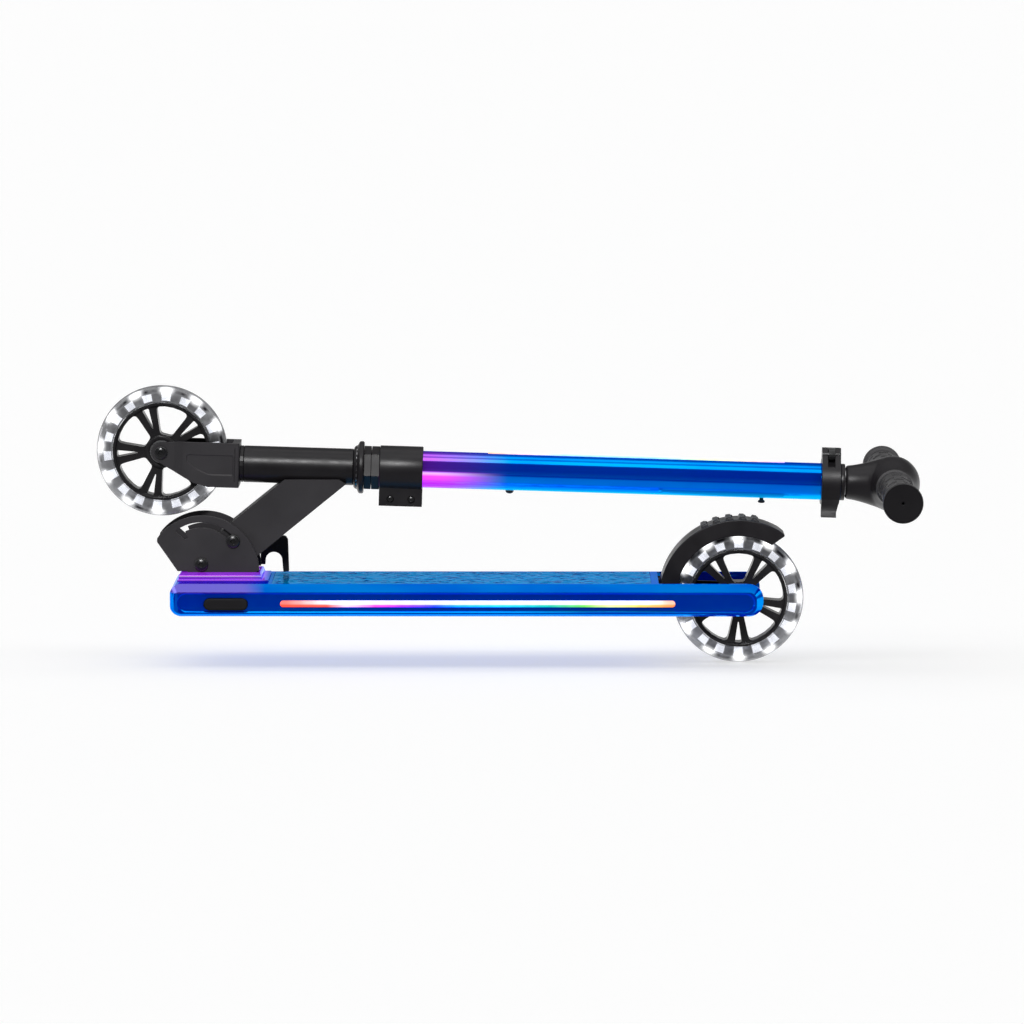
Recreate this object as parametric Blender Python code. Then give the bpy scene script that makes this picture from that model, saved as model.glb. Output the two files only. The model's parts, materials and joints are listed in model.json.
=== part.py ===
"""Folding kick scooter with light-up wheels, lying folded.

+X runs to the rear wheel, -X to the front wheel, -Y is the rider's left and +Z is up. The origin is on the
ground under the middle of the object. Shapes are drawn in millimetres and scaled once, in add_node.
"""

import math

import bmesh
import bpy
from mathutils import Matrix, Vector

MM = 0.001
GAP = 0.3

# Wheels
TYRE_R = 62.5
TYRE_WIDTH = 24.0
RIM_R = 46.5
HUB_R = 15.0
HUB_WIDTH = 26.0
BEARING_R = 11.0
BEARING_BORE_R = 4.1
BEARING_WIDTH = 7.0
AXLE_R = 3.9
SPOKE_PAIRS = 5
LIGHT_BLOCKS = 18
FRONT_AXLE = Vector((-330.6, 0.0, 203.5))
REAR_AXLE = Vector((220.0, 0.0, TYRE_R))

# Deck
DECK_FRONT = -321.7
DECK_REAR = 242.3
DECK_BOTTOM = 50.0
DECK_TOP = 81.0
DECK_HALF = 55.0
DECK_CHAMFER_Y = 8.0
DECK_CHAMFER_Z = 7.0
LOWER_CHAMFER = 3.5
SLOT_FRONT = 143.0
ARM_INNER = 44.0
RECESS = (54.8, 71.0)
NOSE = (-315.0, -225.0, 89.6, 35.0)

# Fold bracket and neck
PIVOT = Vector((-292.6, 0.0, 96.5))
LOCK_R = 37.7
LOCK_ANGLE = 36.3
FOLD_TRAVEL = 87.0
PLATE_CENTRE = (-291.6, 89.4)
PLATE_R = 54.0
PLATE_INNER = 19.0
PLATE_THICK = 3.0
ARM_HALF = 17.0

# Column, drawn along its own u axis from the fork end of the head tube
COLUMN = Vector((-256.3, 0.0, 190.8))
COLUMN_SLOPE = 1.75
TUBE_R = 17.5
STEM_BORE_R = 14.7
STEERER_R = 14.2
UPPER_TUBE_R = 12.7
BAR_R = 11.1
HEAD_LENGTH = 108.5
NUT_R = 20.8
CLAMP = (133.6, 174.7)
STEM_END = 573.0
QR = (554.8, 572.6)
BUTTON_U = 498.8
HEIGHT_TRAVEL = 120.0
T_CENTRE = 623.1
BAR_HALF = 161.0
GRIP_END = 165.0

# Fender
FENDER_PIVOT = Vector((150.0, 0.0, 67.0))
FENDER_OUTER = 76.4
FENDER_INNER = 74.0
FENDER_HALF = 17.5

BLACK_METAL = ("black_paint", (0.035, 0.033, 0.036), 0.38, 0.3)
BLACK_PLASTIC = ("black_plastic", (0.028, 0.026, 0.028), 0.45, 0.0)
RUBBER = ("black_rubber", (0.022, 0.021, 0.022), 0.7, 0.0)
BLUE_CHROME = ("blue_chrome", (0.0, 0.16, 0.75), 0.12, 1.0)
CLEAR = ("clear_tyre", (0.8, 0.82, 0.84), 0.15, 0.0)
LIGHT = ("light_diffuser", (0.95, 0.93, 0.98), 0.3, 0.0)
STEEL = ("zinc_steel", (0.62, 0.62, 0.64), 0.3, 1.0)

ALONG_Y = Matrix.Rotation(math.radians(-90), 4, "X")
ALONG_X = Matrix.Rotation(math.radians(90), 4, "Y")


def at(x, y, z):
    return Matrix.Translation((x, y, z))


COLUMN_FRAME = Matrix.Translation(COLUMN) @ Matrix.Rotation(math.radians(COLUMN_SLOPE), 4, "Y")


def clear_scene():
    for obj in list(bpy.data.objects):
        bpy.data.objects.remove(obj)


def material(look):
    name, colour, roughness, metallic = look
    found = bpy.data.materials.get(name)
    if found:
        return found
    made = bpy.data.materials.new(name)
    made.use_nodes = True
    shader = made.node_tree.nodes["Principled BSDF"]
    shader.inputs["Base Color"].default_value = (*colour, 1.0)
    shader.inputs["Roughness"].default_value = roughness
    shader.inputs["Metallic"].default_value = metallic
    return made


def add_axis(name, where, parent=None, turn=Matrix.Identity(4)):
    """An empty on a joint's axis, which the pieces of that moving body are parented to."""
    empty = bpy.data.objects.new(name, None)
    bpy.context.scene.collection.objects.link(empty)
    world = Matrix.Translation(where * MM) @ turn
    if parent:
        empty.parent = parent
        world = parent.matrix_world.inverted() @ world
    empty.matrix_local = world
    bpy.context.view_layer.update()
    return empty


def face_out(shape):
    bmesh.ops.recalc_face_normals(shape, faces=shape.faces)
    if shape.calc_volume(signed=True) < 0.0:
        bmesh.ops.reverse_faces(shape, faces=shape.faces)


def add_node(name, shape, look, body=None, frame=Matrix.Identity(4), smooth=35):
    """Makes the object of a shape drawn in frame, in millimetres, with its origin at its body's axis."""
    shape.transform(Matrix.Scale(MM, 4) @ frame)
    if body:
        shape.transform(body.matrix_world.inverted())
    face_out(shape)
    mesh = bpy.data.meshes.new(name)
    shape.to_mesh(mesh)
    shape.free()
    mesh.materials.append(material(look))
    mesh.shade_smooth()
    mesh.set_sharp_from_angle(angle=math.radians(smooth))
    obj = bpy.data.objects.new(name, mesh)
    obj.parent = body
    bpy.context.scene.collection.objects.link(obj)
    return obj


def combined(operation, first, *others):
    """The Boolean of closed shapes, worked out on temporary objects."""
    for other in others:
        holders = []
        for shape in (first, other):
            face_out(shape)
            mesh = bpy.data.meshes.new("shape")
            shape.to_mesh(mesh)
            shape.free()
            holder = bpy.data.objects.new("shape", mesh)
            bpy.context.scene.collection.objects.link(holder)
            holders.append(holder)
        step = holders[0].modifiers.new("combine", "BOOLEAN")
        step.operation = operation
        step.object = holders[1]
        graph = bpy.context.evaluated_depsgraph_get()
        first = bmesh.new()
        first.from_mesh(holders[0].evaluated_get(graph).to_mesh())
        for holder in holders:
            bpy.data.objects.remove(holder)
        bmesh.ops.dissolve_limit(first, angle_limit=0.002, verts=first.verts, edges=first.edges)
        bmesh.ops.triangulate(first, faces=first.faces)
    return first


def cut(shape, *cutters):
    return combined("DIFFERENCE", shape, *cutters)


def joined(shape, *others):
    return combined("UNION", shape, *others)


def common(shape, *others):
    return combined("INTERSECT", shape, *others)


def prism(outline, low, high, holes=()):
    """A plate of this outline in X and Z, with any holes, from y = low to y = high."""
    shape = bmesh.new()
    for loop in (outline, *holes):
        points = [shape.verts.new((x, low, z)) for x, z in loop]
        for first, second in zip(points, points[1:] + points[:1]):
            shape.edges.new((first, second))
    bmesh.ops.triangle_fill(shape, use_beauty=True, edges=shape.edges)
    faces = bmesh.ops.extrude_face_region(shape, geom=shape.faces)
    moved = [item for item in faces["geom"] if isinstance(item, bmesh.types.BMVert)]
    bmesh.ops.translate(shape, verts=moved, vec=(0.0, high - low, 0.0))
    return shape


def box(low, high):
    outline = [(low[0], low[2]), (high[0], low[2]), (high[0], high[2]), (low[0], high[2])]
    return prism(outline, low[1], high[1])


def turned(profile, steps=24):
    """A closed ring or solid of revolution about Z. The profile's points are (radius, z), in order."""
    shape = bmesh.new()
    rings = []
    for radius, z in profile:
        if radius == 0.0:
            rings.append([shape.verts.new((0.0, 0.0, z))])
            continue
        angles = [math.tau * step / steps for step in range(steps)]
        rings.append([shape.verts.new((radius * math.cos(a), radius * math.sin(a), z)) for a in angles])
    on_axis = profile[0][0] == 0.0
    pairs = list(zip(rings, rings[1:])) if on_axis else list(zip(rings, rings[1:] + rings[:1]))
    for lower, upper in pairs:
        for step in range(steps):
            after = (step + 1) % steps
            corners = [lower[step % len(lower)], lower[after % len(lower)]]
            corners += [upper[after % len(upper)], upper[step % len(upper)]]
            shape.faces.new(list(dict.fromkeys(corners)))
    return shape


def rod(radius, low, high, steps=16):
    return turned([(0.0, low), (radius, low), (radius, high), (0.0, high)], steps)


def ring(inner, outer, low, high, steps=24):
    return turned([(inner, low), (outer, low), (outer, high), (inner, high)], steps)


def turn(shape, matrix):
    shape.transform(matrix)
    return shape


def arc(centre, radius, start, end, steps):
    """Points round a centre in X and Z, from start to end in degrees."""
    points = []
    for step in range(steps + 1):
        angle = math.radians(start + (end - start) * step / steps)
        points.append((centre[0] + radius * math.cos(angle), centre[1] + radius * math.sin(angle)))
    return points


def circle(centre, radius, steps=16):
    return arc(centre, radius, 0.0, 360.0 * (steps - 1) / steps, steps - 1)


def capsule(x_low, x_high, z_low, z_high, steps=6):
    radius = (z_high - z_low) / 2
    middle = (z_low + z_high) / 2
    right = arc((x_high - radius, middle), radius, -90.0, 90.0, steps)
    return right + arc((x_low + radius, middle), radius, 90.0, 270.0, steps)


def button_bolt(head_r, head_height, shank_r, length, steps=16):
    """A button-head bolt along Z, with its head's seat at z = 0 and its shank above it."""
    profile = [(0.0, -head_height), (head_r * 0.55, -head_height), (head_r, -head_height * 0.35)]
    profile += [(head_r, 0.0), (shank_r, 0.0), (shank_r, length), (0.0, length)]
    socket = rod(head_r * 0.36, -head_height - 1.0, -head_height * 0.45, 6)
    return cut(turned(profile, steps), socket)


def hex_nut(bore_r, corner_r, low, high, steps=16):
    return cut(rod(corner_r, low, high, 6), rod(bore_r, low - 1.0, high + 1.0, steps))


# Wheels


def spoke_window(half_inner, half_outer, inner_r, outer_r, middle):
    """A window between two spoke pairs, with rounded corners at the rim."""
    outer = arc((0.0, 0.0), outer_r, middle - half_outer, middle + half_outer, 6)
    inner = arc((0.0, 0.0), inner_r, middle + half_inner, middle - half_inner, 2)
    swell = arc((0.0, 0.0), (inner_r + outer_r) * 0.62, middle + half_outer * 1.13, middle + half_outer, 1)[:1]
    shrink = arc((0.0, 0.0), (inner_r + outer_r) * 0.62, middle - half_outer * 1.13, middle, 1)[:1]
    return outer + swell + inner + shrink


def rim_shape(first_angle):
    """A wheel core: a barrel, a hub bored for two bearings, and a spoked web."""
    pitch = 360.0 / SPOKE_PAIRS
    windows = []
    for pair in range(SPOKE_PAIRS):
        middle = first_angle + pair * pitch
        windows.append(spoke_window(19.0, 21.0, 18.0, 43.0, middle + pitch / 2))
        tip = arc((0.0, 0.0), 21.0, middle, middle, 1)[:1]
        windows.append(arc((0.0, 0.0), 42.6, middle - 4.6, middle + 4.6, 2) + tip)
    web = prism(circle((0.0, 0.0), 45.4, 32), -5.5, 5.5, [*windows, circle((0.0, 0.0), 10.0, 16)])
    barrel = turn(ring(43.8, RIM_R, -11.0, 11.0, 32), ALONG_Y)
    half = HUB_WIDTH / 2
    seat = half - BEARING_WIDTH - GAP
    hub_profile = [(7.0, -seat), (BEARING_R + 0.1, -seat), (BEARING_R + 0.1, -half), (HUB_R, -half)]
    hub_profile += [(HUB_R, half), (BEARING_R + 0.1, half), (BEARING_R + 0.1, seat), (7.0, seat)]
    hub = turn(turned(hub_profile, 16), ALONG_Y)
    return joined(web, barrel, hub)


def tyre_shape():
    inner = RIM_R + GAP
    half = TYRE_WIDTH / 2
    profile = [(inner, -5.6), (inner, -10.6), (52.0, -half), (59.6, -half + 3.2), (TYRE_R, -3.0)]
    profile += [(TYRE_R, 3.0), (59.6, half - 3.2), (52.0, half), (inner, 10.6)]
    profile += [(inner, 5.6), (56.6, 5.6), (56.6, -5.6)]
    return turn(turned(profile, 32), ALONG_Y)


def led_ring_shape():
    """A thin band with a clear light block at each pitch, keyed into the tyre's inner groove."""
    pitch = 360.0 / LIGHT_BLOCKS
    outline = []
    for block in range(LIGHT_BLOCKS):
        start = block * pitch
        outline += arc((0.0, 0.0), 56.0, start - 4.1, start + 4.1, 1)
        outline += arc((0.0, 0.0), 48.6, start + 4.6, start + pitch - 4.6, 1)
    return prism(outline, -5.2, 5.2, [circle((0.0, 0.0), RIM_R + 0.6, 36)])


def add_wheel(name, centre, parent, first_angle):
    body = add_axis(f"{name}_axle", centre, parent)
    frame = Matrix.Translation(centre)
    add_node(f"{name}_rim", rim_shape(first_angle), BLACK_PLASTIC, body, frame)
    add_node(f"{name}_tyre", tyre_shape(), CLEAR, body, frame)
    add_node(f"{name}_led_ring", led_ring_shape(), LIGHT, body, frame)
    for side, sign in (("left", -1.0), ("right", 1.0)):
        near = sign * (HUB_WIDTH / 2 - 0.1)
        far = sign * (HUB_WIDTH / 2 - 0.1 - BEARING_WIDTH)
        bearing = ring(BEARING_BORE_R, BEARING_R, min(near, far), max(near, far), 16)
        add_node(f"{name}_bearing_{side}", turn(bearing, ALONG_Y), STEEL, body, frame)


# Deck


def deck_block():
    """The deck's full outline: rounded ends in side view, chamfered long edges, rounded front corners."""
    front = 11.0
    rear = 14.0
    side = arc((DECK_FRONT + front, DECK_BOTTOM + front), front, 180.0, 270.0, 4)
    side += arc((DECK_REAR - rear, DECK_BOTTOM + rear), rear, 270.0, 360.0, 4)
    side += arc((DECK_REAR - rear, DECK_TOP - rear), rear, 0.0, 90.0, 4)
    side += arc((DECK_FRONT + front, DECK_TOP - front), front, 90.0, 180.0, 4)
    block = prism(side, -DECK_HALF, DECK_HALF)
    flat = DECK_HALF - DECK_CHAMFER_Y
    base = DECK_HALF - LOWER_CHAMFER
    low = DECK_BOTTOM + LOWER_CHAMFER
    high = DECK_TOP - DECK_CHAMFER_Z
    section = [(-base, DECK_BOTTOM), (base, DECK_BOTTOM), (DECK_HALF, low), (DECK_HALF, high)]
    section += [(flat, DECK_TOP), (-flat, DECK_TOP), (-DECK_HALF, high), (-DECK_HALF, low)]
    along = turn(prism(section, -400.0, 400.0), Matrix.Rotation(math.radians(-90), 4, "Z"))
    corner = 12.0
    plan = [(400.0, -60.0), (400.0, 60.0)]
    plan += arc((DECK_FRONT + corner, DECK_HALF - corner), corner, 90.0, 180.0, 3)
    plan += arc((DECK_FRONT + corner, corner - DECK_HALF), corner, 180.0, 270.0, 3)
    corners = turn(prism(plan, 0.0, 100.0), Matrix.Rotation(math.radians(90), 4, "X"))
    return common(block, along, corners)


def deck_shell_shape():
    shell = deck_block()
    cuts = [box((SLOT_FRONT, -ARM_INNER, 0.0), (300.0, ARM_INNER, 120.0))]
    cuts.append(box((-304.0, -46.0, 40.0), (133.0, 46.0, 53.0)))
    cuts.append(box((-302.0, -45.0, 52.0), (130.0, 45.0, 76.5)))
    cuts.append(box((-224.8, -44.4, DECK_TOP - 1.2), (136.0, 44.4, 90.0)))
    strip = capsule(-217.4, 159.4, 58.2, 67.1, 3)
    recess = capsule(-313.0, 234.0, *RECESS, 4)
    for sign in (-1.0, 1.0):
        outer = sorted((sign * (DECK_HALF - 1.5), sign * 60.0))
        inner = sorted((sign * 50.2, sign * 60.0))
        cuts.append(prism(recess, *outer))
        cuts.append(prism(strip, *inner))
    cuts.append(prism(capsule(-289.4, -246.6, 56.3, 68.4), -60.0, -44.0))
    return cut(shell, *cuts)


def nose_cover_shape():
    """The raised cover over the bracket's foot, open where the bracket's plates come through."""
    front, rear, top, half = NOSE
    low = DECK_TOP + GAP
    side = [(front, low), (rear, low), (rear - 9.0, top), (front + 6.0, top)]
    cover = prism(side, -half, half)
    section = [(-half, low - 1.0), (half, low - 1.0), (half, top - 4.0), (half - 4.0, top)]
    section += [(4.0 - half, top), (-half, top - 4.0)]
    along = turn(prism(section, -400.0, 400.0), Matrix.Rotation(math.radians(-90), 4, "Z"))
    opening = box((-306.4, -22.4, 70.0), (-237.6, 22.4, 100.0))
    return cut(common(cover, along), opening)


def add_deck():
    add_node("deck_shell", deck_shell_shape(), BLUE_CHROME)
    add_node("deck_base_plate", box((-303.7, -45.7, DECK_BOTTOM), (132.7, 45.7, 52.7)), BLACK_PLASTIC)
    panel = box((-224.5, -44.1, DECK_TOP - 0.9), (135.7, 44.1, DECK_TOP + 0.5))
    add_node("deck_top_panel", panel, BLUE_CHROME)
    add_node("nose_cover", nose_cover_shape(), BLUE_CHROME)
    strip = capsule(-217.0, 159.0, 58.6, 66.7, 3)
    add_node("light_strip_left", prism(strip, -54.3, -50.5), LIGHT)
    add_node("light_strip_right", prism(strip, 50.5, 54.3), LIGHT)
    add_node("battery_pack", box((-60.0, -30.0, 54.3), (60.0, 30.0, 72.0)), BLACK_PLASTIC)


def add_light_switch():
    body = add_axis("light_switch_axis", Vector((-268.0, -55.8, 62.35)))
    pad = prism(capsule(-289.0, -247.0, 56.7, 68.0), -55.8, -49.2)
    add_node("light_switch", pad, RUBBER, body)


def add_dropout(name, sign):
    """A plate from the slot's front wall to the rear axle, with a bent foot and a boss at the axle."""
    x, z = REAR_AXLE.x, REAR_AXLE.z
    outline = [(SLOT_FRONT + GAP, 53.0), (x, z - 12.0)]
    outline += arc((x, z), 12.0, -90.0, 90.0, 8)[1:]
    outline += [(SLOT_FRONT + GAP, 77.0)]
    plate = prism(outline, 18.2, 22.2)
    foot = box((SLOT_FRONT + GAP, 20.0, 53.0), (SLOT_FRONT + 3.6, 43.0, 77.0))
    boss = turn(rod(9.5, HUB_WIDTH / 2 + GAP, 20.0, 20), at(x, 0.0, z) @ ALONG_Y)
    bore = turn(rod(AXLE_R + 0.3, 0.0, 40.0), at(x, 0.0, z) @ ALONG_Y)
    pin_hole = turn(rod(2.8, 0.0, 40.0, 12), Matrix.Translation(FENDER_PIVOT) @ ALONG_Y)
    shape = cut(joined(plate, foot, boss), bore, pin_hole)
    if sign < 0:
        shape.transform(Matrix.Scale(-1.0, 4, (0.0, 1.0, 0.0)))
    add_node(name, shape, BLACK_METAL)


def add_axle(name, centre, half_grip, body=None):
    """A button-head axle bolt from the left side, with its nut on the right."""
    frame = Matrix.Translation(centre) @ ALONG_Y
    bolt = turn(button_bolt(6.3, 3.6, AXLE_R, 2 * half_grip + 7.4), at(0.0, 0.0, -half_grip - GAP))
    add_node(f"{name}_bolt", bolt, BLACK_METAL, body, frame)
    nut = hex_nut(AXLE_R + 0.1, 7.3, half_grip + GAP, half_grip + 6.6)
    add_node(f"{name}_nut", nut, BLACK_METAL, body, frame)


# Fold bracket


def arc_slot(centre, radius, half_width, start, end, steps):
    """A curved slot with round ends, along an arc about the centre."""
    outer = arc(centre, radius + half_width, start, end, steps)
    inner = arc(centre, radius - half_width, end, start, steps)
    first = arc(centre, radius, start, start, 1)[0]
    last = arc(centre, radius, end, end, 1)[0]
    far_cap = arc(last, half_width, end, end + 180.0, 4)[1:-1]
    near_cap = arc(first, half_width, start + 180.0, start + 360.0, 4)[1:-1]
    return outer + far_cap + inner + near_cap


def add_fold_bracket():
    pivot = (PIVOT.x, PIVOT.z)
    outline = [(-240.0, DECK_TOP + GAP), (-240.0, NOSE[2] + GAP)]
    start = math.degrees(math.asin((NOSE[2] + GAP - PLATE_CENTRE[1]) / PLATE_R))
    outline += arc(PLATE_CENTRE, PLATE_R, start, 138.0, 16)
    outline += [(-334.5, 121.5), (-334.9, 118.0), (-315.4, NOSE[2] + GAP)]
    outline += [(-306.0, NOSE[2] + GAP), (-306.0, DECK_TOP + GAP)]
    end = LOCK_ANGLE + FOLD_TRAVEL
    slot = arc_slot(pivot, LOCK_R, 3.5, LOCK_ANGLE - 0.5, end + 0.5, 12)
    holes = [slot, circle(pivot, 4.3)]
    outer = PLATE_INNER + PLATE_THICK
    left = prism(outline, -outer, -PLATE_INNER, holes)
    right = prism(outline, PLATE_INNER, outer, holes)
    base = box((-305.0, -20.5, DECK_TOP + GAP), (-241.0, 20.5, 84.3))
    add_node("fold_bracket", joined(base, left, right), BLACK_METAL)
    frame = Matrix.Translation(PIVOT) @ ALONG_Y
    bolt = turn(button_bolt(6.5, 3.6, 4.0, 2 * outer + 6.8), at(0.0, 0.0, -outer - GAP))
    add_node("pivot_bolt", bolt, BLACK_METAL, None, frame)
    add_node("pivot_nut", hex_nut(4.1, 7.2, outer + GAP, outer + 6.3), BLACK_METAL, None, frame)


# Neck


def neck_arm_shape():
    """A box-section arm from the pivot to the head tube, saddled round the tube."""
    pivot = (PIVOT.x, PIVOT.z)
    outline = [(-154.7, 172.8), (-161.2, 177.2), (-213.2, 177.2), (-260.8, 138.7)]
    outline += arc(pivot, 11.5, 135.0, 290.0, 10)
    outline += [(-262.0, 88.0), (-239.9, 103.7)]
    arm = prism(outline, -ARM_HALF, ARM_HALF)
    hollow = [(-166.0, 172.0), (-206.0, 172.0), (-244.0, 141.0), (-236.0, 114.0)]
    inside = prism(hollow, -ARM_HALF + 3.0, ARM_HALF - 3.0)
    saddle = turn(rod(TUBE_R + GAP, -10.0, 140.0, 32), COLUMN_FRAME @ ALONG_X)
    bore = turn(rod(4.3, -30.0, 30.0), Matrix.Translation(PIVOT) @ ALONG_Y)
    lock = turn(rod(3.3, -30.0, 30.0), lock_frame() @ ALONG_Y)
    return cut(arm, inside, saddle, bore, lock)


def lock_frame():
    angle = math.radians(LOCK_ANGLE)
    offset = Vector((LOCK_R * math.cos(angle), 0.0, LOCK_R * math.sin(angle)))
    return Matrix.Translation(PIVOT + offset)


def add_fold_lever(body):
    """A hook-shaped cam lever on the right-hand end of the lock bolt, swinging outwards about its pin."""
    centre = lock_frame().translation
    pin = Vector((centre.x, 32.6, centre.z))
    lever_body = add_axis("fold_lever_axis", pin, body)
    outline = [(-211.0, 82.7), (-212.0, 116.0), (-214.5, 119.5), (-228.0, 123.2)]
    outline += [(centre.x - 2.5, centre.z + 6.5), (centre.x - 2.5, centre.z - 6.5)]
    outline += [(-246.0, centre.z - 6.5), (-236.0, 104.5)]
    outline += arc((-224.3, 95.5), 8.4, 140.0, 0.0, 6)
    outline += [(-215.9, 82.7)]
    lever = prism(outline, 29.4, 35.8)
    fork_gap = box((centre.x - 12.0, 20.0, centre.z - 3.6), (centre.x + 9.0, 40.0, centre.z + 3.6))
    bore = turn(rod(1.7, -20.0, 20.0, 10), Matrix.Translation(pin))
    add_node("fold_lever", cut(lever, fork_gap, bore), BLACK_METAL, lever_body)
    profile = [(0.0, -7.2), (1.5, -7.2), (1.5, 7.2), (0.0, 7.2)]
    add_node("fold_lever_pin", turned(profile, 10), STEEL, body, Matrix.Translation(pin))


def add_neck():
    body = add_axis("fold_hinge", PIVOT)
    arm = neck_arm_shape()
    add_node("neck_arm", arm, BLACK_METAL, body)
    profile = [(STEERER_R + 1.0, 3.8), (TUBE_R, 3.8), (TUBE_R, HEAD_LENGTH), (STEERER_R + 1.0, HEAD_LENGTH)]
    tube = turn(turned(profile, 32), ALONG_X)
    badge = box((47.0, -3.5, TUBE_R - 0.7), (71.0, 3.5, 30.0))
    add_node("head_tube", cut(tube, badge), BLACK_METAL, body, COLUMN_FRAME)
    low = HEAD_LENGTH + GAP
    cup = [(16.0, low), (22.0, low), (25.0, low + 3.4), (25.0, low + 8.0), (23.4, low + 9.6)]
    cup += [(21.3, low + 9.6), (21.3, low + 2.4), (16.0, low + 2.4)]
    add_node("upper_cup", turn(turned(cup, 24), ALONG_X), BLACK_METAL, body, COLUMN_FRAME)
    upper = ring(STEERER_R + 0.4, 21.0, low + 2.7, low + 9.3, 24)
    add_node("upper_bearing", turn(upper, ALONG_X), STEEL, body, COLUMN_FRAME)
    lower = ring(STEERER_R + 0.4, TUBE_R, 0.3, 3.5, 24)
    add_node("lower_bearing", turn(lower, ALONG_X), STEEL, body, COLUMN_FRAME)
    frame = lock_frame() @ ALONG_Y
    outer = PLATE_INNER + PLATE_THICK
    bolt = turn(button_bolt(6.6, 3.6, 3.0, 2 * outer + 14.5), at(0.0, 0.0, -outer - GAP))
    eye_hole = turn(rod(1.8, -10.0, 10.0, 10), at(0.0, 32.6, 0.0))
    bolt.transform(ALONG_Y)
    bolt = cut(bolt, eye_hole)
    add_node("lock_bolt", bolt, BLACK_METAL, body, lock_frame())
    nut = hex_nut(3.2, 6.4, outer + GAP, outer + 6.0)
    add_node("lock_bolt_nut", nut, BLACK_METAL, body, frame)
    add_fold_lever(body)
    return body


# Steering


def fork_shape():
    """Two jogged plates and a crown, with the steerer tube standing on the crown."""
    axle = COLUMN_FRAME.inverted() @ FRONT_AXLE
    ax, az = axle.x, axle.z
    plan = [(ax - 12.0, 14.8), (-61.0, 14.8), (-52.0, 17.0), (-7.0, 17.0), (-7.0, -17.0), (-52.0, -17.0)]
    plan += [(-61.0, -14.8), (ax - 12.0, -14.8), (ax - 12.0, -18.8), (-62.0, -18.8), (-53.0, -21.0)]
    plan += [(0.0, -21.0), (0.0, 21.0), (-53.0, 21.0), (-62.0, 18.8), (ax - 12.0, 18.8)]
    plates = turn(prism(plan, -40.0, 40.0), Matrix.Rotation(math.radians(-90), 4, "X"))
    side = arc((ax, az), 9.4, 85.0, 245.0, 8)
    side += [(-43.3, -17.6), (-29.4, -21.2), (0.0, -21.2), (0.0, 21.2), (-57.0, 21.2)]
    plates = common(plates, prism(side, -30.0, 30.0))
    bore = turn(rod(AXLE_R + 0.3, -30.0, 30.0), at(ax, 0.0, az) @ ALONG_Y)
    steerer = turn(rod(STEERER_R, -5.0, CLAMP[1] + 4.0, 24), ALONG_X)
    inside = turn(rod(STEERER_R - 2.4, -20.0, CLAMP[1] + 10.0, 24), ALONG_X)
    return cut(joined(plates, steerer), bore, inside)


def stem_tube_shape():
    tube = ring(STEM_BORE_R, TUBE_R, CLAMP[0] + 0.4, STEM_END, 32)
    tube.transform(ALONG_X)
    groove = box((236.0, -3.3, TUBE_R - 1.3), (520.0, 3.3, 30.0))
    button = turn(rod(2.3, -30.0, 0.0, 12), at(BUTTON_U, 0.0, 0.0))
    screw = turn(rod(2.4, -30.0, 0.0, 10), at(258.0, 0.0, 0.0))
    return cut(tube, groove, button, screw)


def lower_clamp_shape():
    collar = turn(ring(TUBE_R + GAP, 21.6, *CLAMP, 32), ALONG_X)
    ear = box((CLAMP[0], -12.0, -35.0), (CLAMP[1], 12.0, -19.0))
    split = box((CLAMP[0] - 1.0, -1.0, -40.0), (CLAMP[1] + 1.0, 1.0, 0.0))
    cuts = [split]
    for u in (144.5, 164.5):
        cuts.append(turn(rod(2.8, -30.0, 30.0, 12), at(u, 0.0, -28.5) @ ALONG_Y))
        cuts.append(turn(rod(5.4, -30.0, -8.6, 12), at(u, 0.0, -28.5) @ ALONG_Y))
    return cut(joined(collar, ear), *cuts)


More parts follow.
